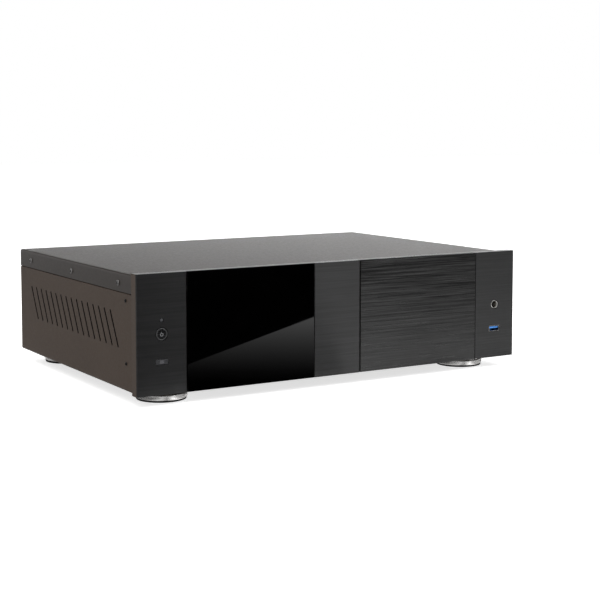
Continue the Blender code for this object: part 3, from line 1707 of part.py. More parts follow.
def build():
    clear_scene()
    panel_metal = make_look("panel_metal", (0.045, 0.044, 0.043), 0.42, 0.7)
    fascia_metal = make_look("fascia_metal", (0.065, 0.064, 0.063), 0.38, 0.8)
    case_paint = make_look("case_paint", (0.075, 0.068, 0.062), 0.5)
    black_glass = make_look("black_glass", (0.004, 0.004, 0.004), 0.05)
    black_plastic = make_look("black_plastic", (0.015, 0.015, 0.015), 0.45)
    grey_plastic = make_look("grey_plastic", (0.12, 0.12, 0.12), 0.4)
    blue_plastic = make_look("blue_plastic", (0.02, 0.10, 0.45), 0.4)
    lamp_plastic = make_look("lamp_plastic", (0.5, 0.55, 0.6), 0.3)
    foot_metal = make_look("foot_metal", (0.6, 0.6, 0.6), 0.3, 1.0)
    rubber = make_look("rubber", (0.012, 0.012, 0.012), 0.8)
    bright_metal = make_look("bright_metal", (0.7, 0.7, 0.7), 0.25, 1.0)
    dark_metal = make_look("dark_metal", (0.05, 0.05, 0.05), 0.35, 1.0)
    zinc = make_look("zinc", (0.55, 0.56, 0.57), 0.4, 1.0)
    cast_metal = make_look("cast_metal", (0.35, 0.36, 0.37), 0.5, 1.0)
    green_board = make_look("green_board", (0.02, 0.12, 0.05), 0.5)
    winding = make_look("winding", (0.35, 0.22, 0.05), 0.5)

    tray = make_holder("tray_axis", (bay_x, front_y, runner_z))
    middles = {
        "left": make_holder("left_runner_axis", (bay_x - sled_half, runner_front_y, runner_z)),
        "right": make_holder("right_runner_axis", (bay_x + sled_half, runner_front_y, runner_z)),
    }

    front_plate(panel_metal)
    display_glass(black_glass)
    display_module(black_plastic)
    front_board(green_board)
    power_lamp(lamp_plastic)
    power_button(panel_metal)
    remote_window(grey_plastic)
    headphone_jack(bright_metal)
    front_usb(bright_metal, blue_plastic)
    jack_board(green_board)
    front_brackets(zinc)
    side_screws(dark_metal)

    base_chassis(case_paint)
    top_cover(case_paint)
    rear_panel(case_paint)
    cover_screws(bright_metal)
    feet(foot_metal, rubber)

    drive_sled(zinc, tray)
    tray_fascia(fascia_metal, tray)
    runners(zinc, middles, tray)
    drive("lower", lower_drive_z, cast_metal, bright_metal, tray)
    drive("upper", upper_drive_z, cast_metal, bright_metal, tray)
    drive_cage(zinc)
    backplane_board(green_board)

    main_board(green_board)
    heat_sink(cast_metal)
    power_board(green_board)
    transformer(winding)
    fan_frame(black_plastic)
    fan_rotor(black_plastic)
    mains_inlet(black_plastic)
    mains_switch(black_plastic, black_plastic)
    hdmi_port(bright_metal)
    network_usb_port(bright_metal)
    audio_jacks(black_plastic)


build()
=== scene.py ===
"""Looks of the full-width media player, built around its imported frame."""

import json
import math

import bmesh
import bpy
from mathutils import Matrix, Vector

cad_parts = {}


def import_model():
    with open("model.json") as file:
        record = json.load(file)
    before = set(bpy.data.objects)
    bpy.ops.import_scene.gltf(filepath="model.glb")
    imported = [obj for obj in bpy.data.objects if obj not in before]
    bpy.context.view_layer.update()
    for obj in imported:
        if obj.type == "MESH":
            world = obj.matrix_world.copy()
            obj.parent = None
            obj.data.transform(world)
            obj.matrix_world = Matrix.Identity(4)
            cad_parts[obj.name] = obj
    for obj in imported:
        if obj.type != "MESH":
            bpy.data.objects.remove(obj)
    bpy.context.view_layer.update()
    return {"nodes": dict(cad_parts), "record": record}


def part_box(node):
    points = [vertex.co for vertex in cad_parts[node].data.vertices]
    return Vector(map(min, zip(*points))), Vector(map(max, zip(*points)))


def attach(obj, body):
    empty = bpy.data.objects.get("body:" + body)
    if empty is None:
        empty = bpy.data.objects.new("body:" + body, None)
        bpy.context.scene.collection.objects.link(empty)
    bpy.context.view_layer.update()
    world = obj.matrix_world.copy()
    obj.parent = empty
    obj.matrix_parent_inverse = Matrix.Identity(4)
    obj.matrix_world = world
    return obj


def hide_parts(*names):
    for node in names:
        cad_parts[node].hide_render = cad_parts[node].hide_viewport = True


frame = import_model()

# Edges
sheet_edge = 0.0002
panel_edge = 0.0004
moulded_edge = 0.0003
cast_edge = 0.0006
fascia_edge = 0.00025
glass_edge = 0.00015
lid_edge = 0.0003
folded_edge = 0.00008
fine_edge = 0.0001
socket_edge = 0.00015
edge_segments = 2
smooth_angle = math.radians(38)
fine_sides = 96
round_sides = 48
small_sides = 24
soft_angle = math.radians(50)
weld_reach = 0.000002
flat_angle = math.radians(1)

# Where most of a noise lies
noise_range = (0.3, 0.7)

# Camera, fitted to the photograph's edges
camera_place = (-0.7091, -1.2473, 0.2577)
camera_pitch = math.radians(90 - 4.46)
camera_heading = math.radians(-31.244)
camera_lens = 81.70
camera_shift = -0.125

# Places read from the frame
panel_low, panel_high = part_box("front_plate")
cover_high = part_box("top_cover")[1]
chassis_low, chassis_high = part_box("base_chassis")
rear_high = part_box("rear_panel")[1]
front_y = panel_low.y


def middle(node):
    low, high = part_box(node)
    return (low + high) / 2


def linear(red, green, blue):
    """A display colour of 0 to 255 as the renderer's linear colour."""
    values = []
    for part in (red, green, blue):
        share = part / 255
        values.append(share / 12.92 if share <= 0.04045 else ((share + 0.055) / 1.055) ** 2.4)
    return (*values, 1.0)


def new_node(tree, kind):
    return tree.nodes.new(f"ShaderNode{kind}")


class Finish:
    """A Principled material whose colour, roughness and relief vary over the object."""

    def __init__(self, name, colour, roughness, metallic=0.0, specular=0.5, **extra):
        self.look = bpy.data.materials.new(name)
        self.look.use_nodes = True
        self.tree = self.look.node_tree
        self.shader = self.tree.nodes["Principled BSDF"]
        self.colour = colour
        self.set("Base Color", colour)
        self.set("Roughness", roughness)
        self.set("Metallic", metallic)
        self.set("Specular IOR Level", specular)
        for socket, value in extra.items():
            self.set(socket.replace("_", " "), value)
        self.place = self.new("TexCoord").outputs["Object"]

    def new(self, kind):
        return new_node(self.tree, kind)

    def set(self, socket, value):
        self.shader.inputs[socket].default_value = value

    def link(self, start, end):
        self.tree.links.new(start, end)

    def noise(self, stretch, detail=4.0, roughness=0.55):
        """Noise whose features are 1/stretch metres long along each axis."""
        mapping = self.new("Mapping")
        mapping.inputs["Scale"].default_value = stretch
        self.link(self.place, mapping.inputs["Vector"])
        noise = self.new("TexNoise")
        for socket, value in (("Scale", 1.0), ("Detail", detail), ("Roughness", roughness)):
            noise.inputs[socket].default_value = value
        self.link(mapping.outputs["Vector"], noise.inputs["Vector"])
        return noise.outputs["Fac"]

    def ranged(self, value, *limits):
        """Map the range of the first two limits to that of the last two."""
        node = self.new("MapRange")
        for socket, limit in zip(("From Min", "From Max", "To Min", "To Max"), limits):
            node.inputs[socket].default_value = limit
        self.link(value, node.inputs["Value"])
        return node.outputs["Result"]

    def spread(self, factor, low, high):
        """Map the usual range of a noise to a range of values."""
        return self.ranged(factor, *noise_range, low, high)

    def vary_colour(self, factor, dark_share, light_share):
        """Vary the colour between two shares of its own brightness."""
        ramp = self.new("ValToRGB")
        for stop, position, share in zip(ramp.color_ramp.elements, noise_range, (dark_share, light_share)):
            stop.position = position
            stop.color = (*(part * share for part in self.colour[:3]), 1.0)
        self.link(factor, ramp.inputs["Fac"])
        self.link(ramp.outputs["Color"], self.shader.inputs["Base Color"])

    def vary_roughness(self, factor, low, high):
        self.link(self.spread(factor, low, high), self.shader.inputs["Roughness"])

    def vary_sheen(self, factor, low, high):
        self.link(self.spread(factor, low, high), self.shader.inputs["Specular IOR Level"])

    def math(self, operation, first, second):
        node = self.new("Math")
        node.operation = operation
        for socket, value in zip(node.inputs, (first, second)):
            if isinstance(value, float):
                socket.default_value = value
            else:
                self.link(value, socket)
        return node.outputs[0]

    def by_height(self, low, high, low_value, high_value):
        """A value that goes from one to another between two heights."""
        split = self.new("SeparateXYZ")
        self.link(self.place, split.inputs[0])
        return self.ranged(split.outputs["Z"], low, high, low_value, high_value)

    def relief(self, factor, depth):
        bump = self.new("Bump")
        bump.inputs["Distance"].default_value = depth
        self.link(factor, bump.inputs["Height"])
        self.link(bump.outputs["Normal"], self.shader.inputs["Normal"])

    def brush_direction(self):
        """Stretch highlights across brush lines that run level along the panel."""
        tangent = self.new("Tangent")
        tangent.direction_type = 'RADIAL'
        tangent.axis = 'Z'
        self.link(tangent.outputs["Tangent"], self.shader.inputs["Tangent"])
        self.set("Anisotropic Rotation", 0.25)


def brushed_panel(name, colour, roughness, dark_share, light_share, specular):
    """Anodised aluminium with level brush lines."""
    finish = Finish(name, colour, roughness, specular=specular, Anisotropic=0.88)
    long_lines = finish.noise((16, 600, 760), 3.0, 0.6)
    short_lines = finish.noise((60, 2400, 2600), 2.0, 0.5)
    finish.vary_colour(long_lines, dark_share, light_share)
    finish.vary_roughness(short_lines, roughness - 0.06, roughness + 0.06)
    finish.vary_sheen(long_lines, specular - 0.09, specular + 0.05)
    finish.relief(long_lines, 0.00004)
    finish.brush_direction()
    return finish.look


def brushed_fascia(name, colour, roughness, specular):
    """The tray's front: the same metal with coarser brush lines; its sheen is set by height, a painted shade that
    leaves the top darkest, and its streaks are strongest at the top.
    """
    finish = Finish(name, colour, roughness, specular=specular, Anisotropic=0.88)
    strokes = finish.noise((14, 1100, 1100), 3.0, 0.65)
    finish.vary_colour(strokes, 0.15, 3.0)
    # Painted shade: the sheen falls from the bottom towards the top, and the streaks grow towards the top.
    gain = finish.by_height(panel_low.z, panel_high.z, 0.1, 1.2)
    shift = finish.by_height(panel_low.z, panel_high.z, 0.54, 0.38)
    swing = finish.math('MULTIPLY', finish.math('SUBTRACT', strokes, 0.5), gain)
    finish.vary_sheen(finish.math('ADD', swing, shift), 0.25, 1.45)
    finish.vary_roughness(finish.noise((40, 900, 900), 2.0, 0.5), roughness - 0.08, roughness + 0.08)
    finish.relief(strokes, 0.00012)
    finish.brush_direction()
    return finish.look


def painted(name, colour, roughness, specular):
    """Satin powder coat with a very fine grain and faint, wide unevenness."""
    finish = Finish(name, colour, roughness, specular=specular)
    finish.vary_colour(finish.noise((9, 9, 9), 3.0), 0.93, 1.07)
    finish.vary_roughness(finish.noise((500, 500, 500), 3.0), roughness - 0.03, roughness + 0.05)
    finish.relief(finish.noise((2600, 2600, 2600), 2.0), 0.000012)
    return finish.look


def metal(name, colour, roughness, stretch, depth=0.000006, dark_share=0.86):
    """Bare metal with lines or a grain along the axis with the smallest stretch."""
    finish = Finish(name, colour, roughness, metallic=1.0)
    grain = finish.noise(stretch, 4.0)
    finish.vary_colour(grain, dark_share, 1.0)
    finish.vary_roughness(grain, roughness + 0.06, max(roughness - 0.05, 0.02))
    finish.relief(grain, depth)
    return finish.look


def plastic(name, colour, roughness, grain=1500, depth=0.00001, specular=0.5):
    """Moulded plastic with a fine spark-eroded grain."""
    finish = Finish(name, colour, roughness, specular=specular)
    finish.vary_colour(finish.noise((120, 120, 120), 3.0), 0.9, 1.1)
    texture = finish.noise((grain, grain, grain), 2.0)
    finish.vary_roughness(texture, roughness - 0.05, roughness + 0.05)
    finish.relief(texture, depth)
    return finish.look


def display_glass_look():
    """Black-backed glass with a clear polish and a trace of dust."""
    finish = Finish("display_glass_black", (0.0003, 0.0003, 0.00035, 1.0), 0.02, specular=0.5)
    finish.vary_colour(finish.noise((40, 40, 40), 5.0), 0.5, 1.5)
    finish.vary_roughness(finish.noise((25, 25, 25), 4.0), 0.012, 0.03)
    return finish.look


def spun_metal(name, colour, roughness):
    """Lathe-turned metal: fine level rings round an upright axis."""
    finish = Finish(name, colour, roughness, metallic=1.0, Anisotropic=0.8)
    rings = finish.noise((2, 2, 2200), 2.0)
    finish.vary_colour(rings, 0.9, 1.0)
    finish.vary_roughness(rings, roughness - 0.03, roughness + 0.05)
    finish.brush_direction()
    return finish.look


def board_look():
    """Green solder resist over faintly showing tracks."""
    finish = Finish("circuit_board", (0.012, 0.085, 0.035, 1.0), 0.35)
    tracks = finish.noise((700, 90, 700), 2.0, 0.3)
    finish.vary_colour(tracks, 0.7, 1.35)
    finish.relief(tracks, 0.00004)
    return finish.look


def rubber_look():
    finish = Finish("foot_rubber", (0.011, 0.011, 0.011, 1.0), 0.75, specular=0.3)
    texture = finish.noise((900, 900, 900), 3.0)
    finish.vary_colour(texture, 0.8, 1.3)
    finish.vary_roughness(texture, 0.65, 0.85)
    finish.relief(texture, 0.00004)
    return finish.look


def make_looks():
    steel = (0.62, 0.63, 0.64, 1.0)
    return {
        "panel": brushed_panel("panel_anodised", linear(18, 18, 19), 0.38, 0.7, 1.4, 0.95),
        "fascia": brushed_fascia("fascia_brushed", linear(12, 12, 12), 0.34, 0.85),
        "case": painted("case_coat", linear(73, 61, 52), 0.46, 0.3),
        # Painted shade: the cover takes a darker copy of the case paint, tuned to how its top catches the light.
        "cover": painted("cover_coat_shaded_copy", linear(48, 42, 38), 0.32, 0.5),
        # Painted shade: a darker copy of the case paint for the sides of the vent slots, where little light reaches.
        "shade": painted("case_coat_painted_shade", linear(22, 19, 17), 0.6, 0.15),
        "glass": display_glass_look(),
        "lens": plastic("remote_lens", linear(58, 58, 60), 0.25, 300, 0.000002),
        "lamp": plastic("lamp_lens", linear(76, 77, 80), 0.3),
        "symbol": plastic("symbol_paint", linear(135, 136, 138), 0.5),
        "black": plastic("black_moulding", linear(26, 26, 27), 0.45),
        "blue": plastic("blue_moulding", linear(70, 140, 222), 0.35),
        "white": plastic("white_moulding", linear(225, 225, 222), 0.4),
        "red": plastic("red_moulding", linear(170, 22, 22), 0.4),
        "foot": spun_metal("foot_turned", (0.78, 0.77, 0.76, 1.0), 0.2),
        "rubber": rubber_look(),
        "nickel": metal("nickel_plate", (0.68, 0.67, 0.65, 1.0), 0.22, (300, 300, 300)),
        "gold": metal("gold_plate", (0.85, 0.62, 0.28, 1.0), 0.25, (300, 300, 300)),
        "black_nickel": metal("black_nickel", (0.36, 0.35, 0.345, 1.0), 0.25, (300, 300, 300)),
        "button": metal("button_anodised", (0.15, 0.15, 0.155, 1.0), 0.28, (14, 900, 1100)),
        "end": painted("panel_end", linear(76, 65, 57), 0.46, 0.3),
        # Bright bare metal for the button's polished rim; on the panel's top face it is painted sheen for the light
        # strip that a grazing view shows.
        "edge": metal("cut_rim_and_painted_top_sheen", (0.42, 0.42, 0.43, 1.0), 0.3, (14, 900, 900)),
        "chamfer": metal("cut_chamfer", (0.22, 0.22, 0.225, 1.0), 0.35, (14, 900, 900)),
        "eye": plastic("receiver_eye", linear(82, 82, 85), 0.3, 300, 0.000002),
        "dark_screw": metal("dark_screw", (0.05, 0.05, 0.052, 1.0), 0.35, (300, 300, 300)),
        "zinc": metal("zinc_sheet", steel, 0.38, (30, 700, 700)),
        "zinc_long": metal("zinc_sheet_long", steel, 0.36, (700, 20, 700)),
        "cast": metal("cast_alloy", (0.33, 0.34, 0.35, 1.0), 0.5, (400, 400, 400), 0.00003),
        "drive_lid": metal("drive_lid", (0.66, 0.67, 0.68, 1.0), 0.36, (900, 14, 900), 0.000001, 0.92),
        "board": board_look(),
        "winding": plastic("winding_tape", linear(205, 160, 60), 0.5),
    }


looks = make_looks()

sides = ("left", "right")
feet = [f"{end}_{side}_foot" for end in ("front", "rear") for side in sides]

# The look and the record's slot of every CAD node
node_looks = {
    "panel": ("panel_metal", ["front_plate", "power_button"]),
    "fascia": ("fascia_metal", ["tray_fascia"]),
    "case": ("case_paint", ["base_chassis", "rear_panel"]),
    "cover": ("case_paint", ["top_cover"]),
    "glass": ("black_glass", ["display_glass"]),
    "lens": ("remote_lens", ["remote_window"]),
    "lamp": ("lamp", ["power_lamp"]),
    "black": ("black_plastic", ["display_module", "fan_frame", "fan_rotor", "mains_inlet", "mains_switch",
                                "mains_rocker", "audio_jacks"]),
    "blue": ("blue_plastic", ["front_usb_insert"]),
    "foot": ("foot_metal", feet),
    "rubber": ("pad_rubber", [f"{foot}_pad" for foot in feet]),
    "nickel": ("bright_metal", ["headphone_jack", "front_usb_shell", "hdmi_port", "network_usb_port"] + [
        f"{side}_{place}_cover_screw" for side in sides for place in ("front", "middle", "rear")]),
    "dark_screw": ("dark_metal", [f"{side}_{place}_side_screw" for side in sides for place in ("upper", "lower")]),
    "zinc": ("zinc_steel", ["drive_sled", "drive_cage", "left_front_bracket", "right_front_bracket"]),
    "zinc_long": ("zinc_steel", [f"{side}_{member}_runner" for member in ("outer", "middle", "inner")
                                 for side in sides]),
    "cast": ("cast_metal", ["lower_drive_case", "upper_drive_case", "heat_sink"]),
    "drive_lid": ("bright_metal", ["lower_drive_cover", "upper_drive_cover"]),
    "board": ("board", ["front_board", "jack_board", "backplane_board", "main_board", "power_board"]),
    "winding": ("winding", ["transformer"]),
}


def dress_nodes():
    """Give every CAD node its material."""
    for look, (_, nodes) in node_looks.items():
        for node in nodes:
            slots = frame["nodes"][node].data.materials
            slots.clear()
            slots.append(looks[look])


def slot_of(node):
    for slot, nodes in node_looks.values():
        if node in nodes:
            return slot
    raise ValueError(node)


def body_of(node):
    for body, nodes in frame["record"]["behaviour"]["bodies"].items():
        if node in nodes:
            return body
    raise ValueError(node)


def shape_up(item, look):
    item.data.materials.clear()
    item.data.materials.append(looks[look])
    item.data.shade_smooth()
    item.data.set_sharp_from_angle(angle=smooth_angle)


def add_object(name, data):
    item = bpy.data.objects.new(name, data)
    bpy.context.scene.collection.objects.link(item)
    return item


def mesh_object(name, bm):
    mesh = bpy.data.meshes.new(name)
    bm.to_mesh(mesh)
    bm.free()
    return add_object(name, mesh)


def make_piece(name, bm, look, body, edge=0.0, slot=None):
    """Turn a mesh in world places into a piece that rides on a body."""
    bmesh.ops.recalc_face_normals(bm, faces=bm.faces)
    item = mesh_object(name, bm)
    shape_up(item, look)
    if edge:
        soften_edges(item, edge)
    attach(item, body)
    return item


def soften_edges(item, edge):
    bevel = item.modifiers.new("edges", 'BEVEL')
    bevel.width = edge
    bevel.segments = edge_segments
    bevel.limit_method = 'ANGLE'
    bevel.angle_limit = soft_angle
    normals = item.modifiers.new("normals", 'WEIGHTED_NORMAL')
    normals.keep_sharp = True
    normals.weight = 100


def edged_copy(node, look, edge):
    """A copy of a node's mesh with softened edges, which stands for the node."""
    bm = bmesh.new()
    bm.from_mesh(frame["nodes"][node].data)
    bmesh.ops.remove_doubles(bm, verts=bm.verts, dist=weld_reach)
    bmesh.ops.dissolve_limit(bm, angle_limit=flat_angle, verts=bm.verts, edges=bm.edges)
    item = make_piece(f"{node}_edged", bm, look, body_of(node), edge, slot_of(node))
    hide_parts(node)
    return item


def draw_back(item, plane, shift):
    """Move the part of a piece that lies on a plane across y along y."""
    for vertex in item.data.vertices:
        if abs(vertex.co.y - plane) < abs(shift) / 4:
            vertex.co.y += shift


def repaint(item, look, chosen):
    """Give another look to the faces of a piece that a test picks."""
    item.data.materials.append(looks[look])
    index = len(item.data.materials) - 1
    for face in item.data.polygons:
        if chosen(face.center, face.normal):
            face.material_index = index


def carve(item, bm):
    """Cut a shape out of a piece at once, leaving a plain mesh."""
    bmesh.ops.recalc_face_normals(bm, faces=bm.faces)
    cutter = mesh_object("cutter", bm)
    cutter_mesh = cutter.data
    boolean = item.modifiers.new("carve", 'BOOLEAN')
    boolean.operation = 'DIFFERENCE'
    boolean.object = cutter
    shaped = item.evaluated_get(bpy.context.evaluated_depsgraph_get())
    mesh = bpy.data.meshes.new_from_object(shaped)
    item.modifiers.clear()
    item.data = mesh
    bpy.data.objects.remove(cutter)
    bpy.data.meshes.remove(cutter_mesh)


def circle(centre, radius, sides):
    points = []
    for index in range(sides):
        angle = 2 * math.pi * index / sides
        points.append((centre[0] + radius * math.cos(angle), centre[1] + radius * math.sin(angle)))
    return points


def rectangle(centre, width, height):
    left, right = centre[0] - width / 2, centre[0] + width / 2
    low, high = centre[1] - height / 2, centre[1] + height / 2
    return [(left, low), (right, low), (right, high), (left, high)]


def band(centre, radius, width, start, end, steps):
    """Outline of a flat ring sector between two angles in degrees."""
    outer, inner = [], []
    for index in range(steps + 1):
        angle = math.radians(start + (end - start) * index / steps)
        for points, reach in ((outer, radius + width / 2), (inner, radius - width / 2)):
            points.append((centre[0] + reach * math.cos(angle), centre[1] + reach * math.sin(angle)))
    return outer + inner[::-1]


def add_prism(bm, outline, axis, start, end):
    """Extrude a flat outline along an axis; its points hold the other two axes in order."""
    def place(point, along):
        spot = list(point)
        spot.insert("XYZ".index(axis), along)
        return bm.verts.new(spot)

    near = [place(point, start) for point in outline]
    far = [place(point, end) for point in outline]
    bm.faces.new(near)
    bm.faces.new(reversed(far))
    for index, vertex in enumerate(near):
        after = (index + 1) % len(near)
        bm.faces.new((vertex, far[index], far[after], near[after]))


def add_turned(bm, profile, base, direction, sides):
    """Turn a profile of (radius, height) about the line through base; radius 0 is on the line."""
    along = Vector(direction).normalized()
    across = along.orthogonal().normalized()
    other = along.cross(across)
    rings = []
    for radius, height in profile:
        centre = Vector(base) + along * height
        if radius == 0:
            rings.append([bm.verts.new(centre)])
            continue
        ring = []
        for u, v in circle((0, 0), radius, sides):
            ring.append(bm.verts.new(centre + across * u + other * v))
        rings.append(ring)
    pairs = list(zip(rings, rings[1:]))
    if len(rings[0]) > 1 and len(rings[-1]) > 1:
        pairs.append((rings[-1], rings[0]))
    for upper, lower in pairs:
        for index in range(sides):
            after = (index + 1) % sides
            corners = [upper[index % len(upper)], upper[after % len(upper)]]
            corners += [lower[after % len(lower)], lower[index % len(lower)]]
            bm.faces.new(list(dict.fromkeys(corners)))


def rounded_corner(radius, height, turn_radius, quarter, steps=4):
    """Profile points round one convex edge: quarter 0 is top outer, 1 is bottom outer."""
    points = []
    for index in range(steps + 1):
        angle = math.radians(90 * index / steps)
        sine, cosine = turn_radius * math.sin(angle), turn_radius * math.cos(angle)
        if quarter == 0:
            points.append((radius - turn_radius + sine, height - turn_radius + cosine))
        else:
            points.append((radius - turn_radius + cosine, height + turn_radius - sine))
    return points


def domed(radius, height, steps=6):
    """Profile points from the tip of a dome at height 0 down to its edge."""
    points = [(0, 0)]
    for index in range(1, steps + 1):
        angle = math.radians(90 * index / steps)
        points.append((radius * math.sin(angle), height * (1 - math.cos(angle))))
    return points


# Feet
foot_edge = 0.0004
pad_edge = 0.0005
rim_height = 0.0066
groove_heights = (0.0045, 0.0030)
groove_width = 0.0006
groove_depth = 0.0004
neck_radius = 0.012
neck_gap = 0.0003
rim_lift = 0.0004
pad_spread = 0.0006
pad_gap = 0.0003
pad_dish = 0.0004
pad_rim = 0.004


def foot(name):
    """A turned foot: a neck, a bright rim with two fine grooves, and a recess for its pad."""
    low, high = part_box(name)
    centre = (low + high) / 2
    radius = (high.x - low.x) / 2
    top = chassis_low.z - neck_gap
    profile = [(0, top), (neck_radius, top), (neck_radius, rim_height)]
    profile += rounded_corner(radius, rim_height, foot_edge, 0)
    for height in groove_heights:
        for share, depth in ((0.5, 0), (0.25, groove_depth), (-0.25, groove_depth), (-0.5, 0)):
            profile.append((radius - depth, height + groove_width * share))
    rim_low = low.z + rim_lift
    profile += rounded_corner(radius, rim_low, foot_edge, 1)
    pad_low, pad_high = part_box(f"{name}_pad")
    pad_radius = (pad_high.x - pad_low.x) / 2 + pad_spread + pad_gap
    pad_top = pad_high.z + pad_gap / 2
    profile += [(pad_radius, rim_low), (pad_radius, pad_top), (0, pad_top)]
    bm = bmesh.new()
    add_turned(bm, profile, (centre.x, centre.y, 0), (0, 0, 1), fine_sides)
    piece = make_piece(f"{name}_turned", bm, "foot", "root", slot="foot_metal")
    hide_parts(name)
    pad(f"{name}_pad")


def pad(name):
    """A rubber pad with a round lower edge and a shallow dished face."""
    low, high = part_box(name)
    centre = (low + high) / 2
    radius = (high.x - low.x) / 2 + pad_spread
    bm = bmesh.new()
    profile = [(0, high.z), (radius, high.z)] + rounded_corner(radius, low.z, pad_edge, 1)
    profile += [(radius - pad_rim, low.z), (radius - pad_rim - pad_dish, low.z + pad_dish),
                (0, low.z + pad_dish)]
    add_turned(bm, profile, (centre.x, centre.y, 0), (0, 0, 1), fine_sides)
    piece = make_piece(f"{name}_moulded", bm, "rubber", "root", slot="pad_rubber")
    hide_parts(name)


# Screws
head_seat_gap = 0.0003
shank_share = 0.5
recess_share = 0.62
recess_width_share = 0.16
recess_depth_share = 0.75


def screw(node, look):
    """A domed cross-head screw on the side of the case, in place of a node."""
    low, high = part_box(node)
    centre = (low + high) / 2
    outward = -1 if centre.x < 0 else 1
    head_radius = (high.z - low.z) / 2
    seat = outward * (cover_high.x + head_seat_gap)
    tip, inner = (low.x, high.x) if outward < 0 else (high.x, low.x)
    head_height = abs(tip - seat)
    profile = domed(head_radius, -head_height)
    shank = head_radius * shank_share
    profile += [(head_radius, -head_height), (shank, -head_height), (shank, -abs(tip - inner)),
                (0, -abs(tip - inner))]
    bm = bmesh.new()
    add_turned(bm, profile, (tip, centre.y, centre.z), (outward, 0, 0), round_sides)
    piece = make_piece(f"{node}_turned", bm, look, "root", slot=slot_of(node))
    recess = bmesh.new()
    reach = head_radius * recess_share
    half = head_radius * recess_width_share
    outline = [
        (-half, -reach), (half, -reach), (half, -half), (reach, -half), (reach, half), (half, half),
        (half, reach), (-half, reach), (-half, half), (-reach, half), (-reach, -half), (-half, -half),
    ]
    turned = [(centre.y + (u - v) * math.sqrt(0.5), centre.z + (u + v) * math.sqrt(0.5)) for u, v in outline]
    depth = head_height * recess_depth_share
    start, end = sorted((tip - outward * depth, tip + outward * depth))
    add_prism(recess, turned, "X", start, end)
    carve(piece, recess)
    shape_up(piece, look)
    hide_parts(node)


# Power button and its symbol
cap_radius = 0.0055
rim_width = 0.0009
dish_depth = 0.00035
flange_front = 0.0103
symbol_radius = 0.0014
symbol_line = 0.00045
symbol_gap = 40
symbol_drop = 0.0004
symbol_rise = 0.00005


def power_button():
    """A dished cap with a round polished rim and a power symbol."""
    low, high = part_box("power_button")
    centre = (low + high) / 2
    flange_radius = (high.z - low.z) / 2
    depth = high.y - low.y
    steps = 8
    profile = [(0, dish_depth)]
    for index in range(steps + 1):
        angle = math.pi * (1 - index / steps)
        radius = cap_radius - rim_width / 2 + rim_width / 2 * math.cos(angle)
        profile.append((radius, dish_depth * (1 - math.sin(angle))))
    profile += [(cap_radius, flange_front), (flange_radius, flange_front), (flange_radius, depth), (0, depth)]
    bm = bmesh.new()
    add_turned(bm, profile, (centre.x, low.y, centre.z), (0, 1, 0), fine_sides)
    cap = make_piece("power_button_cap", bm, "button", "power_button", slot="panel_metal")
    rim_inner = cap_radius - rim_width

    def on_rim(spot, normal):
        outside = math.hypot(spot.x - centre.x, spot.z - centre.z) > rim_inner
        return outside and spot.y < low.y + dish_depth

    repaint(cap, "edge", on_rim)
    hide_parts("power_button")
    symbol = bmesh.new()
    place = (centre.x, centre.z - symbol_drop)
    start, end = 90 + symbol_gap, 90 - symbol_gap + 360
    front = low.y + dish_depth - symbol_rise
    back = low.y + 2 * dish_depth
    add_prism(symbol, band(place, symbol_radius, symbol_line, start, end, 30), "Y", front, back)
    bar_centre = (place[0], place[1] + symbol_radius)
    add_prism(symbol, rectangle(bar_centre, symbol_line, symbol_radius * 1.3), "Y", front, back)
    make_piece("power_symbol", symbol, "symbol", "power_button", slot="lamp")


# Headphone jack
jack_nose = 0.0044
jack_bore = 0.003175
jack_lip = 0.0004
jack_mouth = 0.0006
jack_mouth_share = 0.7
jack_reach = 0.030
jack_body_front = -0.1437
jack_cut_overrun = 0.001
jack_back_wall = 0.002
contact_width = 0.0016
contact_thickness = 0.0006
contact_sink = 0.0004
contact_start = 0.006
contact_end = 0.022


def headphone_jack():
    """The jack's round nose with a polished lip, its bore and the contact inside."""
    low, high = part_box("headphone_jack")
    centre = (low + high) / 2
    bm = bmesh.new()
    profile = [
        (jack_bore, jack_reach),
        (jack_bore, 2 * jack_mouth),
        (jack_bore + jack_mouth * jack_mouth_share, jack_lip / 2),
        (jack_bore + jack_mouth, 0.0),
        (jack_nose - jack_lip, 0.0),
        (jack_nose, jack_lip),
        (jack_nose, jack_reach),
    ]
    add_turned(bm, profile, (centre.x, low.y, centre.z), (0, 1, 0), fine_sides)
    sleeve = make_piece("headphone_sleeve", bm, "nickel", "root", slot="bright_metal")
    body = bmesh.new()
    width = high.x - low.x
    add_prism(body, rectangle((centre.x, centre.z), width, width), "Y", jack_body_front, high.y)
    block = make_piece("headphone_body", body, "black", "root", moulded_edge, slot="black_plastic")
    hole = bmesh.new()
    add_prism(hole, circle((centre.x, centre.z), jack_nose, round_sides), "Y",
              jack_body_front - jack_cut_overrun, high.y - jack_back_wall)
    carve(block, hole)
    shape_up(block, "black")
    soften_edges(block, moulded_edge)
    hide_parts("headphone_jack")
    contact = bmesh.new()
    spot = (centre.x, centre.z + jack_bore - contact_sink)
    add_prism(contact, rectangle(spot, contact_width, contact_thickness), "Y",
              low.y + contact_start, low.y + contact_end)
    make_piece("headphone_contact", contact, "gold", "root", fine_edge, slot="bright_metal")


# Contacts under the tongue of the front USB port
usb_contact_count = 4
usb_contact_pitch = 0.0025
usb_contact_half = 0.0005
usb_contact_below = 0.00012
usb_contact_above = 0.0001
usb_contact_start = 0.001
usb_contact_end = 0.0075


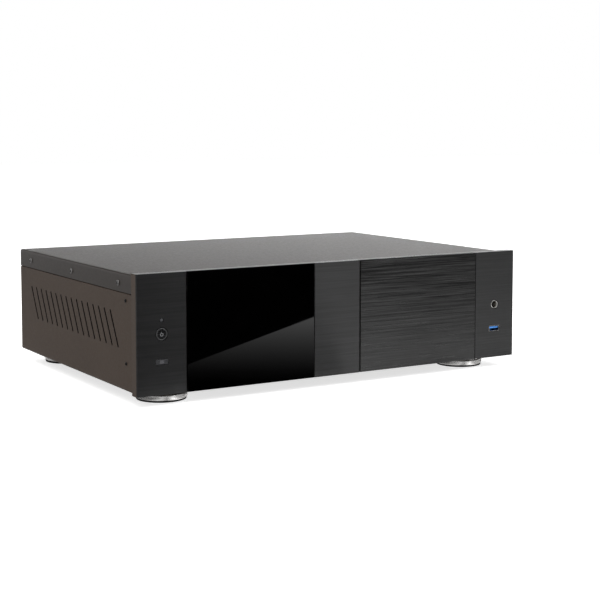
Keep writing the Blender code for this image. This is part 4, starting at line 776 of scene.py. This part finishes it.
def front_usb():
    """The port's folded shell, and gold contacts under its blue tongue."""
    insert_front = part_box("front_usb_insert")[0].y
    edged_copy("front_usb_shell", "nickel", folded_edge)
    edged_copy("front_usb_insert", "blue", fine_edge)
    low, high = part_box("front_usb_shell")
    centre = (low + high) / 2
    contacts = bmesh.new()
    low_z, high_z = centre.z - usb_contact_below, centre.z + usb_contact_above
    for index in range(usb_contact_count):
        x = centre.x + (index - (usb_contact_count - 1) / 2) * usb_contact_pitch
        left, right = x - usb_contact_half, x + usb_contact_half
        outline = [(left, low_z), (right, low_z), (right, high_z), (left, high_z)]
        add_prism(contacts, outline, "Y", insert_front + usb_contact_start, insert_front + usb_contact_end)
    make_piece("front_usb_contacts", contacts, "gold", "root", slot="bright_metal")


# Remote window
lens_edge = 0.00025
eye_rise = 0.00008
eye_width = 0.0042
eye_height = 0.0032


def remote_window():
    """The lens in front of the remote receiver, with the receiver's eye showing in it."""
    low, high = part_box("remote_window")
    centre = (low + high) / 2
    lens = edged_copy("remote_window", "lens", lens_edge)
    draw_back(lens, low.y, eye_rise)
    eye = bmesh.new()
    add_prism(eye, rectangle((centre.x, centre.z), eye_width, eye_height), "Y", low.y, low.y + 5 * eye_rise)
    make_piece("receiver_eye", eye, "eye", "root", slot="remote_lens")


lamp_dome = 0.0006


def power_lamp():
    """The round lamp with a domed face."""
    low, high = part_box("power_lamp")
    centre = (low + high) / 2
    radius = (high.x - low.x) / 2
    bm = bmesh.new()
    length = high.y - low.y
    profile = domed(radius, lamp_dome) + [(radius, length), (0, length)]
    add_turned(bm, profile, (centre.x, low.y, centre.z), (0, 1, 0), round_sides)
    piece = make_piece("power_lamp_lens", bm, "lamp", "root", slot="lamp")
    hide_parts("power_lamp")


# The tray's front reaches further over its finger gap than its solid does
fascia_overlap = 0.0011

# Chassis walls
wall_inner_share = 0.985
wall_top_drop = 0.02
wall_bottom_rise = 0.012
wall_end_inset = 0.03


def inside_a_wall(spot, normal):
    """Whether a face is the side of a vent slot in a side wall of the chassis; these faces get painted shade."""
    across = abs(normal.x) < 0.2 and abs(spot.x) > chassis_high.x * wall_inner_share
    upright = chassis_low.z + wall_bottom_rise < spot.z < chassis_high.z - wall_top_drop
    return across and upright and chassis_low.y + wall_end_inset < spot.y < chassis_high.y - wall_end_inset


def dress_case():
    """Soft edges on the case, the panel, the tray's front and the glass."""
    plate = edged_copy("front_plate", "panel", panel_edge)
    # Painted sheen: the panel's top face gets the bright bare-metal look.
    repaint(plate, "edge", lambda spot, normal: normal.z > 0.9 and spot.z > panel_high.z - panel_edge)
    repaint(plate, "end", lambda spot, normal: abs(normal.x) > 0.9 and abs(spot.x) > panel_high.x - panel_edge)
    plate.data.materials.append(looks["chamfer"])
    plate.modifiers["edges"].material = len(plate.data.materials) - 1
    fascia = edged_copy("tray_fascia", "fascia", fascia_edge)
    fascia_left = min(corner.co.x for corner in fascia.data.vertices)
    for corner in fascia.data.vertices:
        if corner.co.x < fascia_left + fascia_overlap:
            corner.co.x -= fascia_overlap
    edged_copy("display_glass", "glass", glass_edge)
    edged_copy("top_cover", "cover", sheet_edge)
    chassis = edged_copy("base_chassis", "case", sheet_edge)
    # Painted shade on the sides of the vent slots.
    repaint(chassis, "shade", inside_a_wall)
    edged_copy("rear_panel", "case", sheet_edge)


def dress_tray():
    """Soft edges on the tray, its runners and its drives."""
    for node in ("drive_sled", "drive_cage"):
        edged_copy(node, "zinc", sheet_edge)
    for side in sides:
        for member in ("outer", "middle", "inner"):
            edged_copy(f"{side}_{member}_runner", "zinc_long", sheet_edge)
    for place in ("lower", "upper"):
        edged_copy(f"{place}_drive_case", "cast", cast_edge)
        edged_copy(f"{place}_drive_cover", "drive_lid", lid_edge)


# Rear connectors
tip_rise = 0.0001
sleeve_offset = 0.007
sleeve_inner = 0.0031
sleeve_outer = 0.0043
sleeve_bore = 0.0017
sleeve_back = 0.1476
ring_thickness = 0.0006
pin_place = 0.007
pin_size = (0.0021, 0.0041)
pin_end = 0.1443
pin_start = 0.1326
earth_rise = 0.002
tongue_size = (0.0111, 0.0020)
tongue_start = 0.1364
tongue_end = 0.1453
tongue_heights = (0.0262, 0.0340)
strip_size = (0.0092, 0.0013)
network_contact_count = 8
network_contact_pitch = 0.00102
network_contact_size = (0.0004, 0.0004)
network_contact_height = 0.0468
network_contact_start = 0.1335
network_contact_end = 0.1450
hdmi_contact_start = 0.1355
hdmi_contact_end = 0.1448
mark_rise = 0.0036
mark_line = 0.0005
mark_radius = 0.0012
mark_thickness = 0.00006
rocker_pivot = (-0.140, 0.1439, 0.042)
rocker_tilt = 9
rocker_middle = 0.0042
rocker_end = 0.0056
rocker_reach = 0.0072


def box_piece(name, centre, width, height, start, end, look, slot, edge=0.0):
    bm = bmesh.new()
    add_prism(bm, rectangle(centre, width, height), "Y", start, end)
    return make_piece(name, bm, look, "root", edge, slot)


def audio_sleeves():
    """Plated sleeves round red and white rings, on the tips of the audio jacks."""
    low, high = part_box("audio_jacks")
    jacks = edged_copy("audio_jacks", "black", moulded_edge)
    draw_back(jacks, high.y, -tip_rise)
    middle_x, z = (low.x + high.x) / 2, (low.z + high.z) / 2
    for side, colour in ((-1, "red"), (1, "white")):
        x = middle_x + side * sleeve_offset
        depth = high.y - sleeve_back
        tube = bmesh.new()
        profile = [(sleeve_inner, 0), (sleeve_outer - tip_rise, 0), (sleeve_outer, tip_rise), (sleeve_outer, depth),
                   (sleeve_inner, depth)]
        add_turned(tube, profile, (x, high.y, z), (0, -1, 0), round_sides)
        make_piece(f"{colour}_audio_sleeve", tube, "nickel", "root", slot="bright_metal")
        ring = bmesh.new()
        profile = [(sleeve_bore, 0), (sleeve_inner, 0), (sleeve_inner, ring_thickness), (sleeve_bore, ring_thickness)]
        add_turned(ring, profile, (x, high.y - tip_rise / 2, z), (0, -1, 0), round_sides)
        make_piece(f"{colour}_audio_ring", ring, colour, "root", slot="black_plastic")


def mains_parts():
    """Plated pins in the inlet, and the marks for on and off on the rocker."""
    for node in ("mains_inlet", "mains_switch", "mains_rocker"):
        edged_copy(node, "black", moulded_edge)
    inlet = middle("mains_inlet")
    for index, (offset, rise) in enumerate(((-1, 0), (0, earth_rise), (1, 0))):
        place = (inlet.x + offset * pin_place, inlet.z + rise)
        box_piece(f"mains_pin_{index + 1}", place, *pin_size, pin_start, pin_end, "nickel", "bright_metal", sheet_edge)
    slope = math.atan2(rocker_end - rocker_middle, rocker_reach)
    for name, side in (("on", 1), ("off", -1)):
        mark = bmesh.new()
        if side > 0:
            add_prism(mark, rectangle((0, 0), mark_line, 2 * mark_radius), "Z", 0, mark_thickness)
        else:
            inner, outer = mark_radius - mark_line / 2, mark_radius + mark_line / 2
            profile = [(inner, 0), (outer, 0), (outer, mark_thickness), (inner, mark_thickness)]
            add_turned(mark, profile, (0, 0, 0), (0, 0, 1), small_sides)
        out = rocker_middle + (rocker_end - rocker_middle) * mark_rise / rocker_reach
        lie = Matrix.Rotation(math.radians(-90), 4, 'X') @ Matrix.Rotation(math.pi, 4, 'Z')
        tip = Matrix.Rotation(-side * slope, 4, 'X')
        local = Matrix.Translation((0, out, side * mark_rise)) @ tip @ lie
        tilt = Matrix.Rotation(math.radians(rocker_tilt), 4, 'X')
        bmesh.ops.transform(mark, matrix=Matrix.Translation(rocker_pivot) @ tilt @ local, verts=mark.verts)
        make_piece(f"{name}_mark", mark, "white", "mains_rocker", slot="lamp")


def socket_contacts():
    """Blue tongues in the rear USB ports, and gold contacts in the network and HDMI sockets."""
    port = middle("network_usb_port")
    for index, z in enumerate(tongue_heights):
        box_piece(f"rear_usb_tongue_{index + 1}", (port.x, z), *tongue_size, tongue_start, tongue_end, "blue",
                  "blue_plastic", tip_rise)
    for index in range(network_contact_count):
        x = port.x + (index - (network_contact_count - 1) / 2) * network_contact_pitch
        box_piece(f"network_contact_{index + 1}", (x, network_contact_height), *network_contact_size,
                  network_contact_start, network_contact_end, "gold", "bright_metal")
    hdmi = middle("hdmi_port")
    box_piece("hdmi_contacts", (hdmi.x, hdmi.z), *strip_size, hdmi_contact_start, hdmi_contact_end, "gold",
              "bright_metal")


# Screws on the rear panel and the drives
rear_screws = [(-0.2058, 0.0995), (0.2058, 0.0995), (-0.2058, 0.0312), (0.2058, 0.0312)]
fan_pitch = 0.025
rear_head = (0.0026, 0.0011)
lid_head = (0.0019, 0.0005)
lid_inset = 0.006
head_steps = 4
recess_floor_share = 0.3


def cross_head(name, place, direction, head, look, body, slot):
    """A low domed head with a cross recess, seated on a face."""
    radius, height = head
    profile = [(0, height)]
    for index in range(1, head_steps + 1):
        angle = math.radians(90 * index / head_steps)
        profile.append((radius * math.sin(angle), height * math.cos(angle)))
    profile.append((0, 0))
    bm = bmesh.new()
    add_turned(bm, profile, place, direction, small_sides)
    item = make_piece(name, bm, look, body, slot=slot)
    reach, half = radius * recess_share, radius * recess_width_share
    for across, up in ((reach, half), (half, reach)):
        recess = bmesh.new()
        x, y, z = Vector(place)
        spot, axis, along = ((x, z), "Y", y) if direction[1] else ((x, y), "Z", z)
        add_prism(recess, rectangle(spot, 2 * across, 2 * up), axis,
                  along + height * recess_floor_share, along + height * 2)
        carve(item, recess)
    shape_up(item, look)


def small_screws():
    """Screws round the rear panel and the fan, and on the drives' lids."""
    fan = middle("fan_frame")
    places = list(rear_screws)
    places += [(fan.x + side * fan_pitch, fan.z + rise * fan_pitch) for side in (-1, 1) for rise in (-1, 1)]
    for index, (x, z) in enumerate(places):
        cross_head(f"rear_screw_{index + 1}", (x, rear_high.y, z), (0, 1, 0), rear_head, "dark_screw", "root",
                   "dark_metal")
    low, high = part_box("upper_drive_cover")
    for index in range(4):
        x = low.x + lid_inset if index % 2 else high.x - lid_inset
        y = low.y + lid_inset if index // 2 else high.y - lid_inset
        cross_head(f"lid_screw_{index + 1}", (x, y, high.z), (0, 0, 1), lid_head, "black_nickel", "tray",
                   "dark_metal")


def dress_rear():
    """The fan, the sockets and the small parts on the rear panel."""
    edged_copy("fan_frame", "black", moulded_edge)
    edged_copy("hdmi_port", "nickel", fine_edge)
    edged_copy("network_usb_port", "nickel", socket_edge)
    audio_sleeves()
    mains_parts()
    socket_contacts()
    small_screws()


# Studio
world_light = 0.5
glossy_level = 0.55
floor_colour = 0.86
floor_glow = 0.7
floor_half = 6.0
card_height = 0.002
card_near = 0.024
card_left = -0.9
card_right = 3.0
card_far = -1.9
wedge_x = -0.2710
wedge_slope = 0.76
wedge_heading = (0.5201, -0.8541)
wedge_dark = 0.144
wedge_pale = 0.541
wedge_light = 1.18
wedge_power = 1.6
wedge_steps = 8
beyond_reach = 1.5
beyond_stops = [(0.78, 1.0), (0.9, 0.4), (1.1, 0.05), (1.5, 0.05)]
strip_near_left = 0.02
strip_far_left = 0.165
strip_right = 0.75
strip_far = -0.45
strip_stops = [(0.0, 1.0), (1.0, 0.4)]
side_left = -2.0
side_right = -0.225
side_near = -0.35
side_far = 1.5
side_level = 0.3
foot_card_x = 0.170
foot_card_half = 0.055
foot_card_near = -0.164
foot_card_far = -0.100
foot_card_height = 0.0006
foot_card_stops = [(0.0, 0.05), (0.22, 0.1), (0.34, 1.0), (0.42, 0.3), (0.54, 2.0), (0.64, 0.35), (0.74, 0.8),
                   (0.86, 0.05), (1.0, 0.05)]
back_y = 1.6
back_left = -0.2
back_right = 3.5
back_top = 0.75
back_tilt = -0.06
back_stops = [(0.0, 9.0), (0.19, 8.0), (0.25, 0.5), (0.5, 0.2), (1.0, 0.15)]
sky_left = -2.5
sky_y = 0.9
sky_top = 2.2
wall_left = -2.0
wall_right = 3.0
wall_height = 2.2
wall_stops = [(0.0, 0.2), (0.52, 0.1), (0.56, 0.15), (0.585, 1.9), (0.61, 1.9), (0.64, 0.1), (0.7, 0.0), (1.0, 0.0)]


def seen_by(tree, names):
    """One where a ray of any of the named kinds arrives."""
    path = new_node(tree, "LightPath")
    seen = path.outputs[names[0]]
    for name in names[1:]:
        larger = new_node(tree, "Math")
        larger.operation = 'MAXIMUM'
        tree.links.new(seen, larger.inputs[0])
        tree.links.new(path.outputs[name], larger.inputs[1])
        seen = larger.outputs[0]
    return seen


def background(tree, strength):
    node = new_node(tree, "Background")
    node.inputs["Color"].default_value = (1, 1, 1, 1)
    node.inputs["Strength"].default_value = strength
    return node.outputs[0]


def mixed(tree, factor, first, second):
    mix = new_node(tree, "MixShader")
    tree.links.new(factor, mix.inputs[0])
    tree.links.new(first, mix.inputs[1])
    tree.links.new(second, mix.inputs[2])
    return mix.outputs[0]


def world():
    """White behind the object, and an even, plain light from all round."""
    surroundings = bpy.data.worlds.new("studio")
    bpy.context.scene.world = surroundings
    surroundings.use_nodes = True
    tree = surroundings.node_tree
    tree.nodes.clear()
    output = new_node(tree, "OutputWorld")
    lit = background(tree, world_light)
    glossy = background(tree, glossy_level)
    white = background(tree, 1.0)
    reflected = mixed(tree, seen_by(tree, ["Is Glossy Ray", "Is Transmission Ray"]), lit, glossy)
    tree.links.new(mixed(tree, seen_by(tree, ["Is Camera Ray"]), reflected, white), output.inputs["Surface"])


def level(left, right, near, far, height):
    return [(left, near, height), (right, near, height), (right, far, height), (left, far, height)]


def flat_face(name, corners):
    bm = bmesh.new()
    bm.faces.new([bm.verts.new(corner) for corner in corners])
    item = mesh_object(name, bm)
    return item


def floor():
    """A plain white floor that keeps the object's shadow."""
    item = flat_face("floor", level(-floor_half, floor_half, -floor_half, floor_half, 0))
    look = bpy.data.materials.new("floor_white")
    look.use_nodes = True
    tree = look.node_tree
    shader = tree.nodes["Principled BSDF"]
    shader.inputs["Base Color"].default_value = (floor_colour, floor_colour, floor_colour, 1)
    shader.inputs["Roughness"].default_value = 0.9
    shader.inputs["Specular IOR Level"].default_value = 0.0
    glow = new_node(tree, "Emission")
    strength = new_node(tree, "Math")
    strength.operation = 'MULTIPLY'
    strength.inputs[1].default_value = floor_glow
    tree.links.new(seen_by(tree, ["Is Camera Ray", "Is Transmission Ray"]), strength.inputs[0])
    tree.links.new(strength.outputs[0], glow.inputs["Strength"])
    add = new_node(tree, "AddShader")
    tree.links.new(shader.outputs[0], add.inputs[0])
    tree.links.new(glow.outputs[0], add.inputs[1])
    tree.links.new(add.outputs[0], tree.nodes["Material Output"].inputs["Surface"])
    item.data.materials.append(look)


def lamp(name, place, aim, width, height, power):
    data = bpy.data.lights.new(name, 'AREA')
    data.shape = 'RECTANGLE'
    data.size = width
    data.size_y = height
    data.energy = power
    item = add_object(name, data)
    item.location = place
    item.rotation_euler = (Vector(aim) - Vector(place)).to_track_quat('-Z', 'Y').to_euler()
    return item


def lights():
    """Soft lamps that light the object without showing in its reflections."""
    middle_of_case = (0, 0, 0.06)
    key = lamp("key", (-1.4, -1.8, 2.4), middle_of_case, 2.2, 2.2, 50)
    fill = lamp("fill", (1.8, -1.2, 1.8), middle_of_case, 1.6, 1.6, 20)
    back = lamp("back", (0.25, 0.62, 0.42), (0.1, 0.1, 0.11), 0.9, 0.3, 2.2)
    for item in (key, fill, back):
        item.visible_glossy = False


def reflection_card(name, corners, start, end, stops):
    """A card that only reflections see, with its brightness set out between two points."""
    item = flat_face(name, corners)
    look = bpy.data.materials.new(name)
    look.use_nodes = True
    tree = look.node_tree
    tree.nodes.clear()
    output = new_node(tree, "OutputMaterial")
    glow = new_node(tree, "Emission")
    tree.links.new(glow.outputs[0], output.inputs["Surface"])
    span = Vector(end) - Vector(start)
    place = new_node(tree, "TexCoord").outputs["Object"]
    shift = new_node(tree, "VectorMath")
    shift.operation = 'SUBTRACT'
    shift.inputs[1].default_value = start
    tree.links.new(place, shift.inputs[0])
    dot = new_node(tree, "VectorMath")
    dot.operation = 'DOT_PRODUCT'
    dot.inputs[1].default_value = span / span.length_squared
    tree.links.new(shift.outputs["Vector"], dot.inputs[0])
    brightest = max(max(value for _, value in stops), 0.001)
    ramp = new_node(tree, "ValToRGB")
    elements = ramp.color_ramp.elements
    while len(elements) < len(stops):
        elements.new(0.5)
    for element, (position, value) in zip(elements, stops):
        element.position = position
        element.color = (value / brightest, value / brightest, value / brightest, 1)
    tree.links.new(dot.outputs["Value"], ramp.inputs["Fac"])
    tree.links.new(ramp.outputs["Color"], glow.inputs["Color"])
    glow.inputs["Strength"].default_value = brightest
    item.data.materials.append(look)
    item.visible_camera = False
    item.visible_diffuse = False
    item.visible_shadow = False
    item.visible_transmission = False


def cards():
    """What the front reflects: a dark floor with a paler corner, and a dark wall with a bright strip."""
    height = card_height
    near = front_y - card_near
    divide_near = (wedge_x, near, height)
    divide_far = (wedge_x + (near - card_far) / wedge_slope, card_far, height)
    dark_floor = [divide_near, divide_far, (card_left, card_far, height), (card_left, near, height)]
    reflection_card("dark_floor", dark_floor, (0, 0, 0), (1, 0, 0), [(0.0, 0.0), (1.0, 0.0)])
    pale_floor = [divide_near, (card_right, near, height), (card_right, card_far, height), divide_far]
    start = Vector((*wedge_heading, 0)) * wedge_dark + Vector((0, 0, height))
    end = Vector((*wedge_heading, 0)) * beyond_reach + Vector((0, 0, height))
    reach = beyond_reach - wedge_dark
    stops = []
    for step in range(wedge_steps + 1):
        share = step / wedge_steps
        stops.append((share * (wedge_pale - wedge_dark) / reach, wedge_light * share ** wedge_power))
    for distance, share in beyond_stops:
        stops.append(((distance - wedge_dark) / reach, wedge_light * share))
    reflection_card("pale_floor", pale_floor, start, end, stops)
    above = height * 2
    strip = [(strip_near_left, near, above), (strip_right, near, above), (strip_right, strip_far, above),
             (strip_far_left, strip_far, above)]
    reflection_card("bright_strip", strip, (0, near, above), (0, strip_far, above), strip_stops)
    for name, x in (("left", -foot_card_x), ("right", foot_card_x)):
        low, high = x - foot_card_half, x + foot_card_half
        patch = level(low, high, foot_card_near, foot_card_far, foot_card_height)
        reflection_card(f"{name}_foot_floor", patch, patch[0], patch[1], foot_card_stops)
    side = level(side_left, side_right, side_near, side_far, height)
    reflection_card("side_floor", side, side[0], side[1], [(0.0, side_level), (1.0, side_level)])
    back = [(back_left, back_y, 0), (back_right, back_y, 0), (back_right, back_y, back_top),
            (back_left, back_y, back_top)]
    low, high = (0, back_y, 0), (back_tilt * back_top, back_y, back_top)
    reflection_card("back_wall", back, low, high, back_stops)
    above = [(sky_left, back_y, back_top), (back_right, back_y, back_top), (back_right, sky_y, sky_top),
             (sky_left, sky_y, sky_top)]
    reflection_card("dark_sky", above, above[0], above[3], [(0.0, 0.05), (1.0, 0.45)])
    low, high = (wall_left, card_far, 0), (wall_right, card_far, wall_height)
    wall = [low, (high[0], high[1], low[2]), high, (low[0], low[1], high[2])]
    reflection_card("front_wall", wall, low, (high[0], high[1], low[2]), wall_stops)


def camera():
    data = bpy.data.cameras.new("camera")
    data.lens = camera_lens
    data.shift_y = camera_shift
    data.clip_start = 0.01
    data.clip_end = 50
    item = add_object("camera", data)
    item.location = camera_place
    item.rotation_euler = (camera_pitch, 0, camera_heading)
    bpy.context.scene.camera = item


def build():
    dress_nodes()
    dress_case()
    dress_tray()
    dress_rear()
    for name in feet:
        foot(name)
    for side in sides:
        for place in ("front", "middle", "rear"):
            screw(f"{side}_{place}_cover_screw", "black_nickel")
        for place in ("upper", "lower"):
            screw(f"{side}_{place}_side_screw", "dark_screw")
    power_button()
    power_lamp()
    remote_window()
    headphone_jack()
    front_usb()
    camera()
    world()
    floor()
    lights()
    cards()
    bpy.context.scene.view_settings.view_transform = 'Standard'


build()
